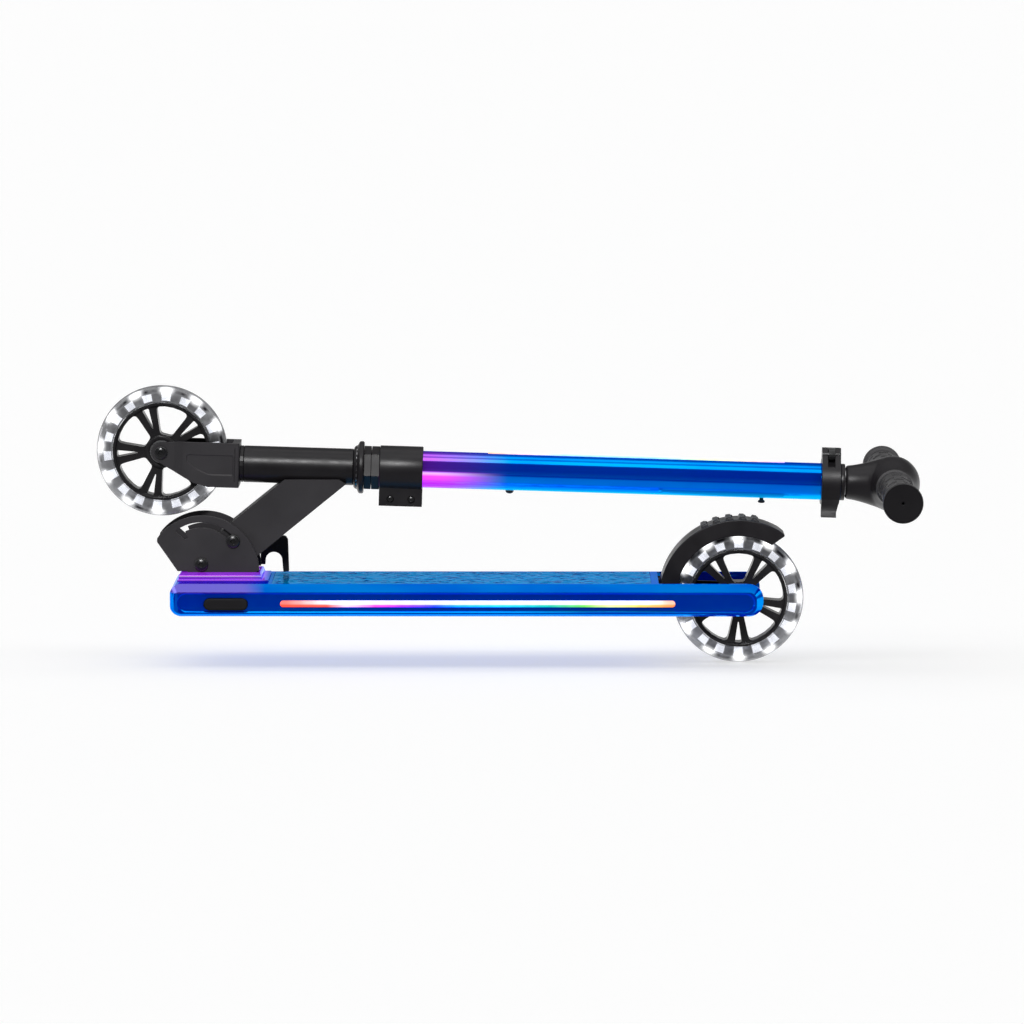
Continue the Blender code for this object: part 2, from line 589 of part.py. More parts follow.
def add_quick_release(body):
    """A split collar at the top of the stem, pulled shut by an eye bolt and a cam lever."""
    middle = (QR[0] + QR[1]) / 2
    collar = turn(ring(TUBE_R + GAP, 21.8, *QR, 32), ALONG_X)
    ears = box((QR[0] + 0.4, -5.2, 19.5), (QR[1] - 0.4, 8.5, 32.0))
    split = box((QR[0] - 1.0, 0.6, 0.0), (QR[1] + 1.0, 2.6, 40.0))
    hole = turn(rod(2.9, -30.0, 30.0, 12), at(middle, 0.0, 26.5) @ ALONG_Y)
    add_node("qr_collar", cut(joined(collar, ears), split, hole), BLACK_METAL, body, COLUMN_FRAME)
    pin_y, pin_w = -12.6, 27.6
    pin = at(0.0, pin_y, pin_w) @ ALONG_X
    shank = turn(rod(2.5, pin_y, 13.5, 12), at(middle, 0.0, 26.5) @ ALONG_Y)
    eye = turn(ring(2.2, 5.2, middle - 3.0, middle + 3.0, 16), pin)
    clear = turn(rod(2.2, middle - 9.0, middle + 9.0, 16), pin)
    add_node("qr_bolt", cut(joined(eye, shank), clear), BLACK_METAL, body, COLUMN_FRAME)
    nut = turn(hex_nut(2.6, 5.6, 8.8, 12.8), at(middle, 0.0, 26.5) @ ALONG_Y)
    add_node("qr_nut", nut, BLACK_METAL, body, COLUMN_FRAME)
    add_node("qr_pin", turn(rod(1.9, QR[0], QR[1], 12), pin), STEEL, body, COLUMN_FRAME)
    where = (COLUMN_FRAME @ at(middle, pin_y, pin_w)).translation
    tilt = Matrix.Rotation(math.radians(COLUMN_SLOPE), 4, "Y")
    lever_body = add_axis("qr_lever_axis", where, body, tilt)
    outline = arc((pin_y, pin_w), 7.0, 62.0, -60.0, 6)
    outline += arc((0.0, 0.0), 22.3, 121.0, 222.0, 10)
    outline += [(-17.4, -30.0), (-21.8, -31.4), (-25.0, -22.0)]
    outline += arc((0.0, 0.0), 27.4, 212.0, 133.0, 8)
    lever = turn(prism(outline, QR[0], QR[1]), Matrix.Rotation(math.radians(-90), 4, "Z"))
    lever.transform(Matrix.Scale(-1.0, 4, (0.0, 1.0, 0.0)))
    slot = box((middle - 3.4, -22.0, 14.0), (middle + 3.4, 0.0, 40.0))
    bore = turn(rod(2.2, QR[0] - 5.0, QR[1] + 5.0, 12), pin)
    add_node("qr_lever", cut(lever, slot, bore), BLACK_PLASTIC, lever_body, COLUMN_FRAME)


def add_height_button(body):
    where = (COLUMN_FRAME @ at(BUTTON_U, 0.0, -TUBE_R)).translation
    tilt = Matrix.Rotation(math.radians(COLUMN_SLOPE), 4, "Y")
    button_body = add_axis("height_button_axis", where, body, tilt)
    profile = [(0.0, -22.3), (2.4, -22.3), (3.4, -21.4), (3.4, -20.0), (1.9, -19.2), (1.9, -11.8), (0.0, -11.8)]
    button = turn(turned(profile, 12), at(BUTTON_U, 0.0, 0.0))
    add_node("height_button", button, BLACK_METAL, button_body, COLUMN_FRAME)


def add_steering(neck):
    tilt = Matrix.Rotation(math.radians(COLUMN_SLOPE), 4, "Y")
    body = add_axis("steering_axis", COLUMN, neck, tilt)
    add_node("fork", fork_shape(), BLACK_METAL, body, COLUMN_FRAME)
    low = HEAD_LENGTH + 10.2
    adjusting = turn(hex_nut(STEERER_R + 0.2, NUT_R, low, low + 6.6, 24), ALONG_X)
    add_node("adjusting_nut", adjusting, BLACK_METAL, body, COLUMN_FRAME)
    locking = turn(hex_nut(STEERER_R + 0.2, NUT_R, low + 7.0, CLAMP[0] - GAP, 24), ALONG_X)
    add_node("headset_lock_nut", locking, BLACK_METAL, body, COLUMN_FRAME)
    add_node("lower_clamp", lower_clamp_shape(), BLACK_METAL, body, COLUMN_FRAME)
    for name, u in (("clamp_bolt_front", 144.5), ("clamp_bolt_rear", 164.5)):
        bolt = turn(button_bolt(4.8, 3.0, 2.5, 20.0, 12), at(0.0, 0.0, -8.9))
        add_node(name, bolt, BLACK_METAL, body, COLUMN_FRAME @ at(u, 0.0, -28.5) @ ALONG_Y)
    add_node("stem_tube", stem_tube_shape(), BLUE_CHROME, body, COLUMN_FRAME)
    strip = box((236.4, -3.0, TUBE_R - 1.0), (519.6, 3.0, TUBE_R + 0.7))
    add_node("stem_light_strip", strip, LIGHT, body, COLUMN_FRAME)
    dome = [(0.0, -20.8), (2.6, -20.3), (4.0, -18.6), (4.0, -17.8), (2.2, -17.8), (2.2, -13.6), (0.0, -13.6)]
    add_node("stem_screw", turn(turned(dome, 10), at(258.0, 0.0, 0.0)), BLACK_METAL, body, COLUMN_FRAME)
    bush = [(12.9, 520.0), (14.5, 520.0), (14.5, STEM_END + 0.4), (TUBE_R, STEM_END + 0.4)]
    bush += [(TUBE_R, STEM_END + 4.4), (12.9, STEM_END + 4.4)]
    add_node("height_bush", turn(turned(bush, 24), ALONG_X), BLACK_PLASTIC, body, COLUMN_FRAME)
    add_quick_release(body)
    add_height_button(body)
    add_wheel("front", FRONT_AXLE, body, -33.0)
    add_axle("front_axle", FRONT_AXLE, 18.9, body)
    return body


# Handlebar


def upper_tube_shape():
    """The inner tube, with a long slot that the height button's stem stands in at every height."""
    start = BUTTON_U - HEIGHT_TRAVEL - 50.0
    tube = turn(ring(UPPER_TUBE_R - 1.6, UPPER_TUBE_R, start, T_CENTRE - 14.0, 20), ALONG_X)
    slot = box((BUTTON_U - HEIGHT_TRAVEL - 3.0, -2.4, -20.0), (BUTTON_U + 3.0, 2.4, 0.0))
    return cut(tube, slot)


def t_body_shape():
    barrel = [(0.0, -36.0), (17.6, -36.0), (21.8, -22.0), (25.4, -11.0), (26.6, 0.0)]
    barrel += [(25.4, 11.0), (21.8, 22.0), (17.6, 36.0), (0.0, 36.0)]
    across = turn(turned(barrel, 20), at(T_CENTRE, 0.0, 0.0) @ ALONG_Y)
    low = STEM_END + 5.0
    neck = [(0.0, low), (15.6, low), (16.0, low + 1.0), (16.4, low + 10.0), (18.6, low + 22.0)]
    neck += [(21.5, low + 32.0), (0.0, low + 32.0)]
    along = turn(turned(neck, 20), ALONG_X)
    bar = turn(rod(BAR_R + GAP, -50.0, 50.0, 20), at(T_CENTRE, 0.0, 0.0) @ ALONG_Y)
    tube = turn(rod(UPPER_TUBE_R + GAP, low - 5.0, T_CENTRE - 13.5, 20), ALONG_X)
    return cut(joined(across, along), bar, tube)


def grip_shape(sign):
    start = 36.4
    bore = BAR_R + GAP
    profile = [(bore, start), (17.6, start), (17.6, start + 3.0), (15.8, start + 4.5), (15.4, 100.0)]
    profile += [(15.8, 155.5), (18.6, 157.5), (18.9, GRIP_END - 1.2), (17.6, GRIP_END), (1.5, GRIP_END)]
    profile += [(1.5, BAR_HALF + GAP), (bore, BAR_HALF + GAP)]
    if sign < 0:
        profile = [(radius, -along) for radius, along in reversed(profile)]
    return turn(turned(profile, 20), ALONG_Y)


def add_handlebar(steering):
    where = (COLUMN_FRAME @ at(T_CENTRE, 0.0, 0.0)).translation
    tilt = Matrix.Rotation(math.radians(COLUMN_SLOPE), 4, "Y")
    body = add_axis("height_slide", where, steering, tilt)
    add_node("upper_tube", upper_tube_shape(), STEEL, body, COLUMN_FRAME)
    add_node("t_body", t_body_shape(), BLACK_PLASTIC, body, COLUMN_FRAME)
    frame = COLUMN_FRAME @ at(T_CENTRE, 0.0, 0.0)
    bar = turn(ring(BAR_R - 1.8, BAR_R, -BAR_HALF, BAR_HALF, 20), ALONG_Y)
    add_node("bar_tube", bar, BLACK_METAL, body, frame)
    add_node("grip_left", grip_shape(-1.0), RUBBER, body, frame)
    add_node("grip_right", grip_shape(1.0), RUBBER, body, frame)


# Fender


def fender_shape():
    """A channel over the rear wheel with treads on top, a pointed tail and two lugs for the pin."""
    centre = (REAR_AXLE.x, REAR_AXLE.z)
    outline = arc(centre, FENDER_OUTER, 165.0, 60.0, 19)
    outline += [(centre[0] + 45.0, centre[1] + 61.4), (centre[0] + 39.0, centre[1] + 57.8)]
    outline += arc(centre, 60.5, 58.8, 158.0, 14)
    outline += [(centre[0] - 56.0, 62.0), (FENDER_PIVOT.x + 5.5, 61.5), (FENDER_PIVOT.x - 3.0, 61.0)]
    outline += [(FENDER_PIVOT.x - 6.0, 64.0), (FENDER_PIVOT.x - 6.0, 72.0)]
    solid = prism(outline, -FENDER_HALF, FENDER_HALF)
    hollow = arc(centre, FENDER_INNER, 168.0, 66.0, 18)
    hollow += [(centre[0] + 33.0, centre[1] + 60.0), (centre[0] + 60.0, centre[1] + 38.0)]
    hollow += [(centre[0] + 20.0, 40.0), (SLOT_FRONT - 5.0, 40.0), (SLOT_FRONT - 5.0, 76.0)]
    channel = prism(hollow, -FENDER_HALF + 2.4, FENDER_HALF - 2.4)
    treads = []
    for angle in (116.0, 107.0, 97.5, 88.0, 79.0):
        tread = box((-3.2, -12.0, 73.0), (3.2, 12.0, FENDER_OUTER + 2.8))
        lean = Matrix.Rotation(math.radians(90.0 - angle), 4, "Y")
        treads.append(turn(tread, at(centre[0], 0.0, centre[1]) @ lean))
    bore = turn(rod(2.7, -30.0, 30.0, 12), Matrix.Translation(FENDER_PIVOT) @ ALONG_Y)
    return cut(joined(solid, *treads), channel, bore)


def spring_shape():
    """A torsion spring round the pin: three turns of wire with a short leg at each end."""
    turns, per_turn, radius, pitch = 3, 10, 4.6, 2.2
    points = [(-radius, -pitch * turns / 2, -8.0)]
    for step in range(turns * per_turn + 1):
        angle = math.tau * step / per_turn
        y = pitch * (step / per_turn - turns / 2)
        points.append((-radius * math.cos(angle), y, radius * math.sin(angle)))
    points.append((-radius, pitch * turns / 2, 9.0))
    curve = bpy.data.curves.new("spring_wire", "CURVE")
    curve.dimensions = "3D"
    curve.bevel_depth = 0.7
    curve.bevel_resolution = 1
    curve.use_fill_caps = True
    line = curve.splines.new("POLY")
    line.points.add(len(points) - 1)
    for place, point in zip(line.points, points):
        place.co = (*point, 1.0)
    holder = bpy.data.objects.new("spring_wire", curve)
    bpy.context.scene.collection.objects.link(holder)
    graph = bpy.context.evaluated_depsgraph_get()
    shape = bmesh.new()
    shape.from_mesh(holder.evaluated_get(graph).to_mesh())
    bpy.data.objects.remove(holder)
    bmesh.ops.remove_doubles(shape, verts=shape.verts, dist=0.0001)
    return shape


def add_fender():
    body = add_axis("fender_hinge", FENDER_PIVOT)
    add_node("fender", fender_shape(), BLACK_PLASTIC, body)
    pin = turn(rod(2.4, -21.8, 21.8, 12), Matrix.Translation(FENDER_PIVOT) @ ALONG_Y)
    add_node("fender_pin", pin, STEEL)
    add_node("fender_spring", spring_shape(), STEEL, None, Matrix.Translation(FENDER_PIVOT))


def main():
    clear_scene()
    add_deck()
    add_light_switch()
    add_fold_bracket()
    add_dropout("dropout_left", -1.0)
    add_dropout("dropout_right", 1.0)
    add_wheel("rear", REAR_AXLE, None, -90.0)
    add_axle("rear_axle", REAR_AXLE, 22.2)
    add_fender()
    neck = add_neck()
    steering = add_steering(neck)
    add_handlebar(steering)


main()
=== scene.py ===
"""Looks of a folded kick scooter with light-up wheels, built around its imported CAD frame.

Shapes are drawn in millimetres in the CAD's own frame and scaled once, in add_piece. +X runs to the rear
wheel, -Y is the rider's left and +Z is up. Places and sizes come from the frame's nodes.
"""

import json
import math

import bmesh
import bpy
from mathutils import Matrix, Vector, noise

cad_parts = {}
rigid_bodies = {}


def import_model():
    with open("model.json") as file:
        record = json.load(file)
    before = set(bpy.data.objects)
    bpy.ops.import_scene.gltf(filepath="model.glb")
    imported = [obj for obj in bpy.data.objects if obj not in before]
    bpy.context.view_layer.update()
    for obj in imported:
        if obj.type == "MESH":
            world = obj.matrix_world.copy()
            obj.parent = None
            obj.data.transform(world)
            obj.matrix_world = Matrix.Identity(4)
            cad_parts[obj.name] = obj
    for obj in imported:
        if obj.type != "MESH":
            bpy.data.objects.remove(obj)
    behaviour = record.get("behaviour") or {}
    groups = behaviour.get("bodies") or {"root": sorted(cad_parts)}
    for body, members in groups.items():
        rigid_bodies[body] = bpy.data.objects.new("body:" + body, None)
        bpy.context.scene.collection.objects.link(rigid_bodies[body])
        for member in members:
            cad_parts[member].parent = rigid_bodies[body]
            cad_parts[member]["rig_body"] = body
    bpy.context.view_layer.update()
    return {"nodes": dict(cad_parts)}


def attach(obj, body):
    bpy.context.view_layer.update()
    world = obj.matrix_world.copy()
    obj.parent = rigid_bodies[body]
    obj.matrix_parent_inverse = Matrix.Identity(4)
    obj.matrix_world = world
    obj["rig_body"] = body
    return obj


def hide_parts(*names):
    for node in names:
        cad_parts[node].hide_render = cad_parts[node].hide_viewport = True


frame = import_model()

MM = 0.001
GAP = 0.3
SHARP = 32.0
SIDES = (-1.0, 1.0)
NO_TURN = Matrix.Identity(4)
ALONG_Y = Matrix.Rotation(math.radians(-90), 4, "X")
ALONG_X = Matrix.Rotation(math.radians(90), 4, "Y")
FROM_PLAN = Matrix.Rotation(math.radians(-90), 4, "X")
FROM_SECTION = Matrix.Rotation(math.radians(-90), 4, "Z")


def at(x, y, z):
    return Matrix.Translation((x, y, z))


def span(node, into=NO_TURN):
    """Lowest and highest corner of a CAD node's points, seen from another frame, in millimetres."""
    points = [into @ (vertex.co / MM) for vertex in frame["nodes"][node].data.vertices]
    low = Vector(min(point[axis] for point in points) for axis in range(3))
    high = Vector(max(point[axis] for point in points) for axis in range(3))
    return low, high


def middle(node, into=NO_TURN):
    low, high = span(node, into)
    return (low + high) / 2


# Places in the frame

FRONT_AXLE = middle("front_tyre")
REAR_AXLE = middle("rear_tyre")
TYRE_LOW, TYRE_HIGH = span("front_tyre")
TYRE_R = (TYRE_HIGH.z - TYRE_LOW.z) / 2
TYRE_HALF = (TYRE_HIGH.y - TYRE_LOW.y) / 2
RIM_LOW, RIM_HIGH = span("front_rim")
RIM_R = (RIM_HIGH.z - RIM_LOW.z) / 2
HUB_HALF = (RIM_HIGH.y - RIM_LOW.y) / 2
DECK_LOW, DECK_HIGH = span("deck_shell")
PANEL_LOW, PANEL_HIGH = span("deck_top_panel")
STRIP_LOW, STRIP_HIGH = span("light_strip_left")
STRIP_BOTTOM = STRIP_LOW.z + 1.1
STRIP_TOP = STRIP_HIGH.z - 0.9
SWITCH_LOW, SWITCH_HIGH = span("light_switch")
NOSE_LOW, NOSE_HIGH = span("nose_cover")
PIVOT = middle("pivot_bolt")
PIVOT.y = 0.0
LOCK = middle("lock_bolt")
LOCK.y = 0.0
SLOT_FRONT = 143.0
ARM_INNER = 44.0
BRACKET_LOW, BRACKET_HIGH = span("fold_bracket")
FENDER_PIVOT = middle("fender_pin")

# The column's own frame: u runs along it from the fork's crown, w is up and across it
HEAD_MIDDLE_U = 56.15
HEAD_MIDDLE = middle("head_tube")
COLUMN_AXIS = (middle("stem_tube") - HEAD_MIDDLE).normalized()
COLUMN_TILT = Matrix.Rotation(math.asin(-COLUMN_AXIS.z), 4, "Y")
COLUMN = Matrix.Translation(HEAD_MIDDLE - COLUMN_AXIS * HEAD_MIDDLE_U) @ COLUMN_TILT
INTO_COLUMN = COLUMN.inverted()
HEAD_LOW, HEAD_HIGH = span("head_tube", INTO_COLUMN)
TUBE_R = HEAD_HIGH.y
STEM_LOW, STEM_HIGH = span("stem_tube", INTO_COLUMN)
STEM_STRIP_LOW, STEM_STRIP_HIGH = span("stem_light_strip", INTO_COLUMN)
CLAMP_LOW, CLAMP_HIGH = span("lower_clamp", INTO_COLUMN)
COLLAR_LOW, COLLAR_HIGH = span("qr_collar", INTO_COLUMN)
COLLAR_R = COLLAR_HIGH.y
COLLAR_TIP = span("qr_lever", INTO_COLUMN)[0].z
T_START = span("t_body", INTO_COLUMN)[0].x
BAR_U = middle("bar_tube", INTO_COLUMN).x
GRIP_END = span("grip_right")[1].y
BUTTON_U = middle("height_button", INTO_COLUMN).x
SCREW_U = middle("stem_screw", INTO_COLUMN).x


# Outlines


def spot(centre, radius, degrees):
    angle = math.radians(degrees)
    return centre[0] + radius * math.cos(angle), centre[1] + radius * math.sin(angle)


def arc(centre, radius, start, end, steps):
    """Points round a centre, from start to end in degrees."""
    return [spot(centre, radius, start + (end - start) * step / steps) for step in range(steps + 1)]


def circle(centre, radius, steps=48):
    return arc(centre, radius, 0.0, 360.0 * (steps - 1) / steps, steps - 1)


def capsule(low, high, bottom, top, steps=14):
    radius = (top - bottom) / 2
    level = (bottom + top) / 2
    right = arc((high - radius, level), radius, -90.0, 90.0, steps)
    return right + arc((low + radius, level), radius, 90.0, 270.0, steps)


def rounded(outline, radii, steps=5):
    """The outline with an arc at each corner; radii is one number, or one for each corner."""
    if not isinstance(radii, (list, tuple)):
        radii = [radii] * len(outline)
    points = []
    for place, radius in enumerate(radii):
        here = Vector(outline[place])
        back = Vector(outline[place - 1]) - here
        on = Vector(outline[(place + 1) % len(outline)]) - here
        half = back.angle(on) / 2
        if radius <= 0.0 or half > math.radians(88.5):
            points.append(tuple(here))
            continue
        reach = min(radius / math.tan(half), 0.48 * back.length, 0.48 * on.length)
        start = here + back.normalized() * reach
        end = here + on.normalized() * reach
        centre = here + (back.normalized() + on.normalized()).normalized() * (reach / math.cos(half))
        first = math.atan2(start.y - centre.y, start.x - centre.x)
        sweep = (math.atan2(end.y - centre.y, end.x - centre.x) - first + math.pi) % math.tau - math.pi
        size = (start - centre).length
        for step in range(steps + 1):
            angle = first + sweep * step / steps
            points.append((centre.x + size * math.cos(angle), centre.y + size * math.sin(angle)))
    return points


# Solids


def face_out(shape):
    bmesh.ops.recalc_face_normals(shape, faces=shape.faces)
    if shape.calc_volume(signed=True) < 0.0:
        bmesh.ops.reverse_faces(shape, faces=shape.faces)


def holder_of(shape, name="shape"):
    mesh = bpy.data.meshes.new(name)
    shape.to_mesh(mesh)
    shape.free()
    holder = bpy.data.objects.new(name, mesh)
    bpy.context.scene.collection.objects.link(holder)
    return holder


def taken_from(holder):
    """The shape of an object with its modifiers, which is then removed."""
    graph = bpy.context.evaluated_depsgraph_get()
    shape = bmesh.new()
    shape.from_mesh(holder.evaluated_get(graph).to_mesh())
    bpy.data.objects.remove(holder)
    return shape


def combined(operation, first, *others):
    for other in others:
        face_out(first)
        face_out(other)
        body = holder_of(first)
        tool = holder_of(other)
        step = body.modifiers.new("combine", "BOOLEAN")
        step.operation = operation
        step.object = tool
        first = taken_from(body)
        bpy.data.objects.remove(tool)
        bmesh.ops.dissolve_limit(first, angle_limit=0.002, verts=first.verts, edges=first.edges)
    return first


def cut(shape, *cutters):
    return combined("DIFFERENCE", shape, *cutters)


def joined(shape, *others):
    return combined("UNION", shape, *others)


def common(shape, *others):
    return combined("INTERSECT", shape, *others)


def beside(shape, *others):
    """One mesh of several shapes that lie on or in each other."""
    for other in others:
        mesh = bpy.data.meshes.new("beside")
        face_out(other)
        other.to_mesh(mesh)
        other.free()
        shape.from_mesh(mesh)
        bpy.data.meshes.remove(mesh)
    return shape


def prism(outline, low, high, holes=()):
    """A plate of this outline in X and Z, with any holes, from y = low to y = high."""
    shape = bmesh.new()
    for loop in (outline, *holes):
        points = [shape.verts.new((x, low, z)) for x, z in loop]
        for first, second in zip(points, points[1:] + points[:1]):
            shape.edges.new((first, second))
    bmesh.ops.triangle_fill(shape, use_beauty=True, edges=shape.edges)
    bmesh.ops.dissolve_limit(shape, angle_limit=0.002, verts=shape.verts, edges=shape.edges)
    faces = bmesh.ops.extrude_face_region(shape, geom=shape.faces)
    moved = [item for item in faces["geom"] if isinstance(item, bmesh.types.BMVert)]
    bmesh.ops.translate(shape, verts=moved, vec=(0.0, high - low, 0.0))
    return shape


def side_prism(outline, sign, near, far, holes=()):
    """A plate on one side of the middle plane; sign is -1 for the left and 1 for the right."""
    return prism(outline, *sorted((sign * near, sign * far)), holes)


def box(low, high):
    outline = [(low[0], low[2]), (high[0], low[2]), (high[0], high[2]), (low[0], high[2])]
    return prism(outline, low[1], high[1])


def turned(profile, steps=72):
    """A closed ring or solid of revolution about Z. The profile's points are (radius, z), in order."""
    shape = bmesh.new()
    rings = []
    for radius, z in profile:
        if radius == 0.0:
            rings.append([shape.verts.new((0.0, 0.0, z))])
            continue
        angles = [math.tau * step / steps for step in range(steps)]
        rings.append([shape.verts.new((radius * math.cos(a), radius * math.sin(a), z)) for a in angles])
    on_axis = profile[0][0] == 0.0
    pairs = list(zip(rings, rings[1:])) if on_axis else list(zip(rings, rings[1:] + rings[:1]))
    for lower, upper in pairs:
        for step in range(steps):
            after = (step + 1) % steps
            corners = [lower[step % len(lower)], lower[after % len(lower)]]
            corners += [upper[after % len(upper)], upper[step % len(upper)]]
            shape.faces.new(list(dict.fromkeys(corners)))
    return shape


def rod(radius, low, high, steps=48):
    return turned([(0.0, low), (radius, low), (radius, high), (0.0, high)], steps)


def both_ends(half):
    """A closed profile from its far half, each point (radius, z), mirrored to the near end."""
    return [(radius, -z) for radius, z in half] + half[::-1]


def ring(inner, outer, low, high, steps=72):
    return turned([(inner, low), (outer, low), (outer, high), (inner, high)], steps)


def turn(shape, matrix):
    shape.transform(matrix)
    return shape


def lathe(profile, way, steps=96):
    """A solid of revolution whose axis Z is then laid this way."""
    return turn(turned(profile, steps), way)


def mirrored(shape):
    return turn(shape, Matrix.Scale(-1.0, 4, (0.0, 1.0, 0.0)))


# Pieces


def round_edges(obj, width, segments, sharp):
    edges = obj.modifiers.new("rounded_edges", "BEVEL")
    edges.width = width * MM
    edges.segments = segments
    edges.limit_method = "ANGLE"
    edges.angle_limit = math.radians(sharp)
    edges.harden_normals = True


def add_piece(name, shape, look, nodes, place=NO_TURN, origin=Vector(), bevel=0.0, segments=3, sharp=SHARP):
    """A piece drawn in place, in millimetres, that stands for these CAD nodes and rides on their body."""
    shape.transform(at(*(-origin * MM)) @ Matrix.Scale(MM, 4) @ place)
    face_out(shape)
    obj = holder_of(shape, name)
    obj.location = origin * MM
    obj.data.materials.append(look)
    obj.data.shade_smooth()
    if bevel:
        round_edges(obj, bevel, segments, sharp)
    else:
        obj.data.set_sharp_from_angle(angle=math.radians(sharp))
    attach(obj, frame["nodes"][nodes[0]]["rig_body"])
    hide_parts(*nodes)
    return obj


def dress(node, look, bevel=0.0, segments=2):
    """Keeps a CAD node, with rounded edges and a finish."""
    obj = frame["nodes"][node]
    obj.data.materials.clear()
    obj.data.materials.append(look)
    if bevel:
        round_edges(obj, bevel, segments, SHARP)


# Materials


def new_look(name):
    made = bpy.data.materials.new(name)
    made.use_nodes = True
    return made, made.node_tree, made.node_tree.nodes["Principled BSDF"]


def feed(tree, target, inputs):
    """Pairs a node's sockets, by name or number, with a value or with the socket that feeds it."""
    for key, value in dict(inputs).items():
        if isinstance(value, bpy.types.NodeSocket):
            tree.links.new(value, target.inputs[key])
        else:
            target.inputs[key].default_value = value


def node(tree, kind, inputs=(), **settings):
    """A new node with these inputs and settings."""
    made = tree.nodes.new(kind)
    for setting, value in settings.items():
        setattr(made, setting, value)
    feed(tree, made, inputs)
    return made


def maths(tree, operation, *values):
    return node(tree, "ShaderNodeMath", enumerate(values), operation=operation).outputs[0]


def ranged(tree, value, low, high, to_low=0.0, to_high=1.0):
    """value as a smooth step from to_low at low to to_high at high."""
    inputs = {0: value, 1: low, 2: high, 3: to_low, 4: to_high}
    return node(tree, "ShaderNodeMapRange", inputs, interpolation_type="SMOOTHSTEP").outputs[0]


def mixed(tree, factor, first, second):
    inputs = {0: factor, 6: first, 7: second}
    return node(tree, "ShaderNodeMix", inputs, data_type="RGBA").outputs[2]


def local(tree):
    return node(tree, "ShaderNodeTexCoord").outputs["Object"]


def stretched(tree, vector, scale):
    return node(tree, "ShaderNodeMapping", {"Vector": vector, "Scale": scale}).outputs[0]


def cloud(tree, vector, scale, detail=3.0, roughness=0.5):
    inputs = {"Vector": vector, "Scale": scale, "Detail": detail, "Roughness": roughness}
    return node(tree, "ShaderNodeTexNoise", inputs).outputs[0]


def ramp(tree, value, stops):
    """Colours along value: stops are (position, colour)."""
    made = node(tree, "ShaderNodeValToRGB", {0: value})
    elements = made.color_ramp.elements
    elements[0].position, elements[0].color = stops[0][0], (*stops[0][1], 1.0)
    elements[1].position, elements[1].color = stops[-1][0], (*stops[-1][1], 1.0)
    for position, colour in stops[1:-1]:
        elements.new(position).color = (*colour, 1.0)
    return made.outputs[0]


def bump(tree, shader, height, strength, distance):
    inputs = {"Height": height, "Strength": strength, "Distance": distance}
    tree.links.new(node(tree, "ShaderNodeBump", inputs).outputs[0], shader.inputs["Normal"])


def satin(name, dark, light, roughness, grain_scale, grain, metallic=0.0, specular=0.5):
    """A black finish with soft tone and gloss changes and a fine grain: paint, moulded plastic or rubber."""
    made, tree, shader = new_look(name)
    where = local(tree)
    tone = ranged(tree, cloud(tree, where, 18.0), 0.3, 0.7)
    gloss = ranged(tree, cloud(tree, where, 60.0), 0.3, 0.7, roughness - 0.05, roughness + 0.06)
    feed(tree, shader, {"Base Color": mixed(tree, tone, (*dark, 1.0), (*light, 1.0)), "Roughness": gloss})
    shader.inputs["Metallic"].default_value = metallic
    shader.inputs["Specular IOR Level"].default_value = specular
    bump(tree, shader, cloud(tree, where, grain_scale, 2.0), grain, 0.0004)
    return made


def steel_look(name, colour, roughness):
    """Zinc-plated steel with fine lines along X."""
    made, tree, shader = new_look(name)
    lines = cloud(tree, stretched(tree, local(tree), (60.0, 900.0, 900.0)), 1.0)
    darker = tuple(0.8 * channel for channel in colour)
    gloss = ranged(tree, lines, 0.3, 0.7, roughness - 0.08, roughness + 0.1)
    feed(tree, shader, {"Base Color": mixed(tree, lines, (*darker, 1.0), (*colour, 1.0)), "Roughness": gloss})
    shader.inputs["Metallic"].default_value = 1.0
    bump(tree, shader, lines, 0.15, 0.0002)
    return made


VIOLET = (0.62, 0.14, 0.95, 1.0)
LILAC = (0.42, 0.33, 1.0, 1.0)
MAGENTA = (1.0, 0.3, 1.0, 1.0)
NUT_TURN = -13.0
LAMPS = 12
BLOCKS = 18
SPOKE_PAIRS = 5


def candy_look(name, tint_end, tint_start, tint=VIOLET, tint_above=-1.0, tint_share=1.0):
    """Candy blue over chrome: a mirror tinted cyan over a deep blue body, fading to another tint by the fold.

    tint_end and tint_start are X, in metres, where the tint ends and where it is full, and tint_above is the
    height, in metres, that it starts at.
    """
    made, tree, mirror = new_look(name)
    where = local(tree)
    along, _, up = node(tree, "ShaderNodeSeparateXYZ", {0: where}).outputs
    ragged = maths(tree, "ADD", along, maths(tree, "MULTIPLY", cloud(tree, where, 22.0), 0.02))
    high = ranged(tree, up, tint_above, tint_above + 0.002, 0.0, tint_share)
    tinted = maths(tree, "MULTIPLY", ranged(tree, ragged, tint_end, tint_start), high)
    drift = cloud(tree, stretched(tree, where, (9.0, 30.0, 30.0)), 1.0)
    blue = mixed(tree, ranged(tree, drift, 0.35, 0.65), (0.0, 0.26, 0.86, 1.0), (0.0, 0.42, 0.95, 1.0))
    body = mixed(tree, tinted, (0.0, 0.03, 0.98, 1.0), (0.16, 0.01, 0.85, 1.0))
    plate_over(tree, mirror, mixed(tree, tinted, blue, tint), body)
    bump(tree, mirror, cloud(tree, where, 35.0, 2.0), 0.04, 0.0008)
    return made


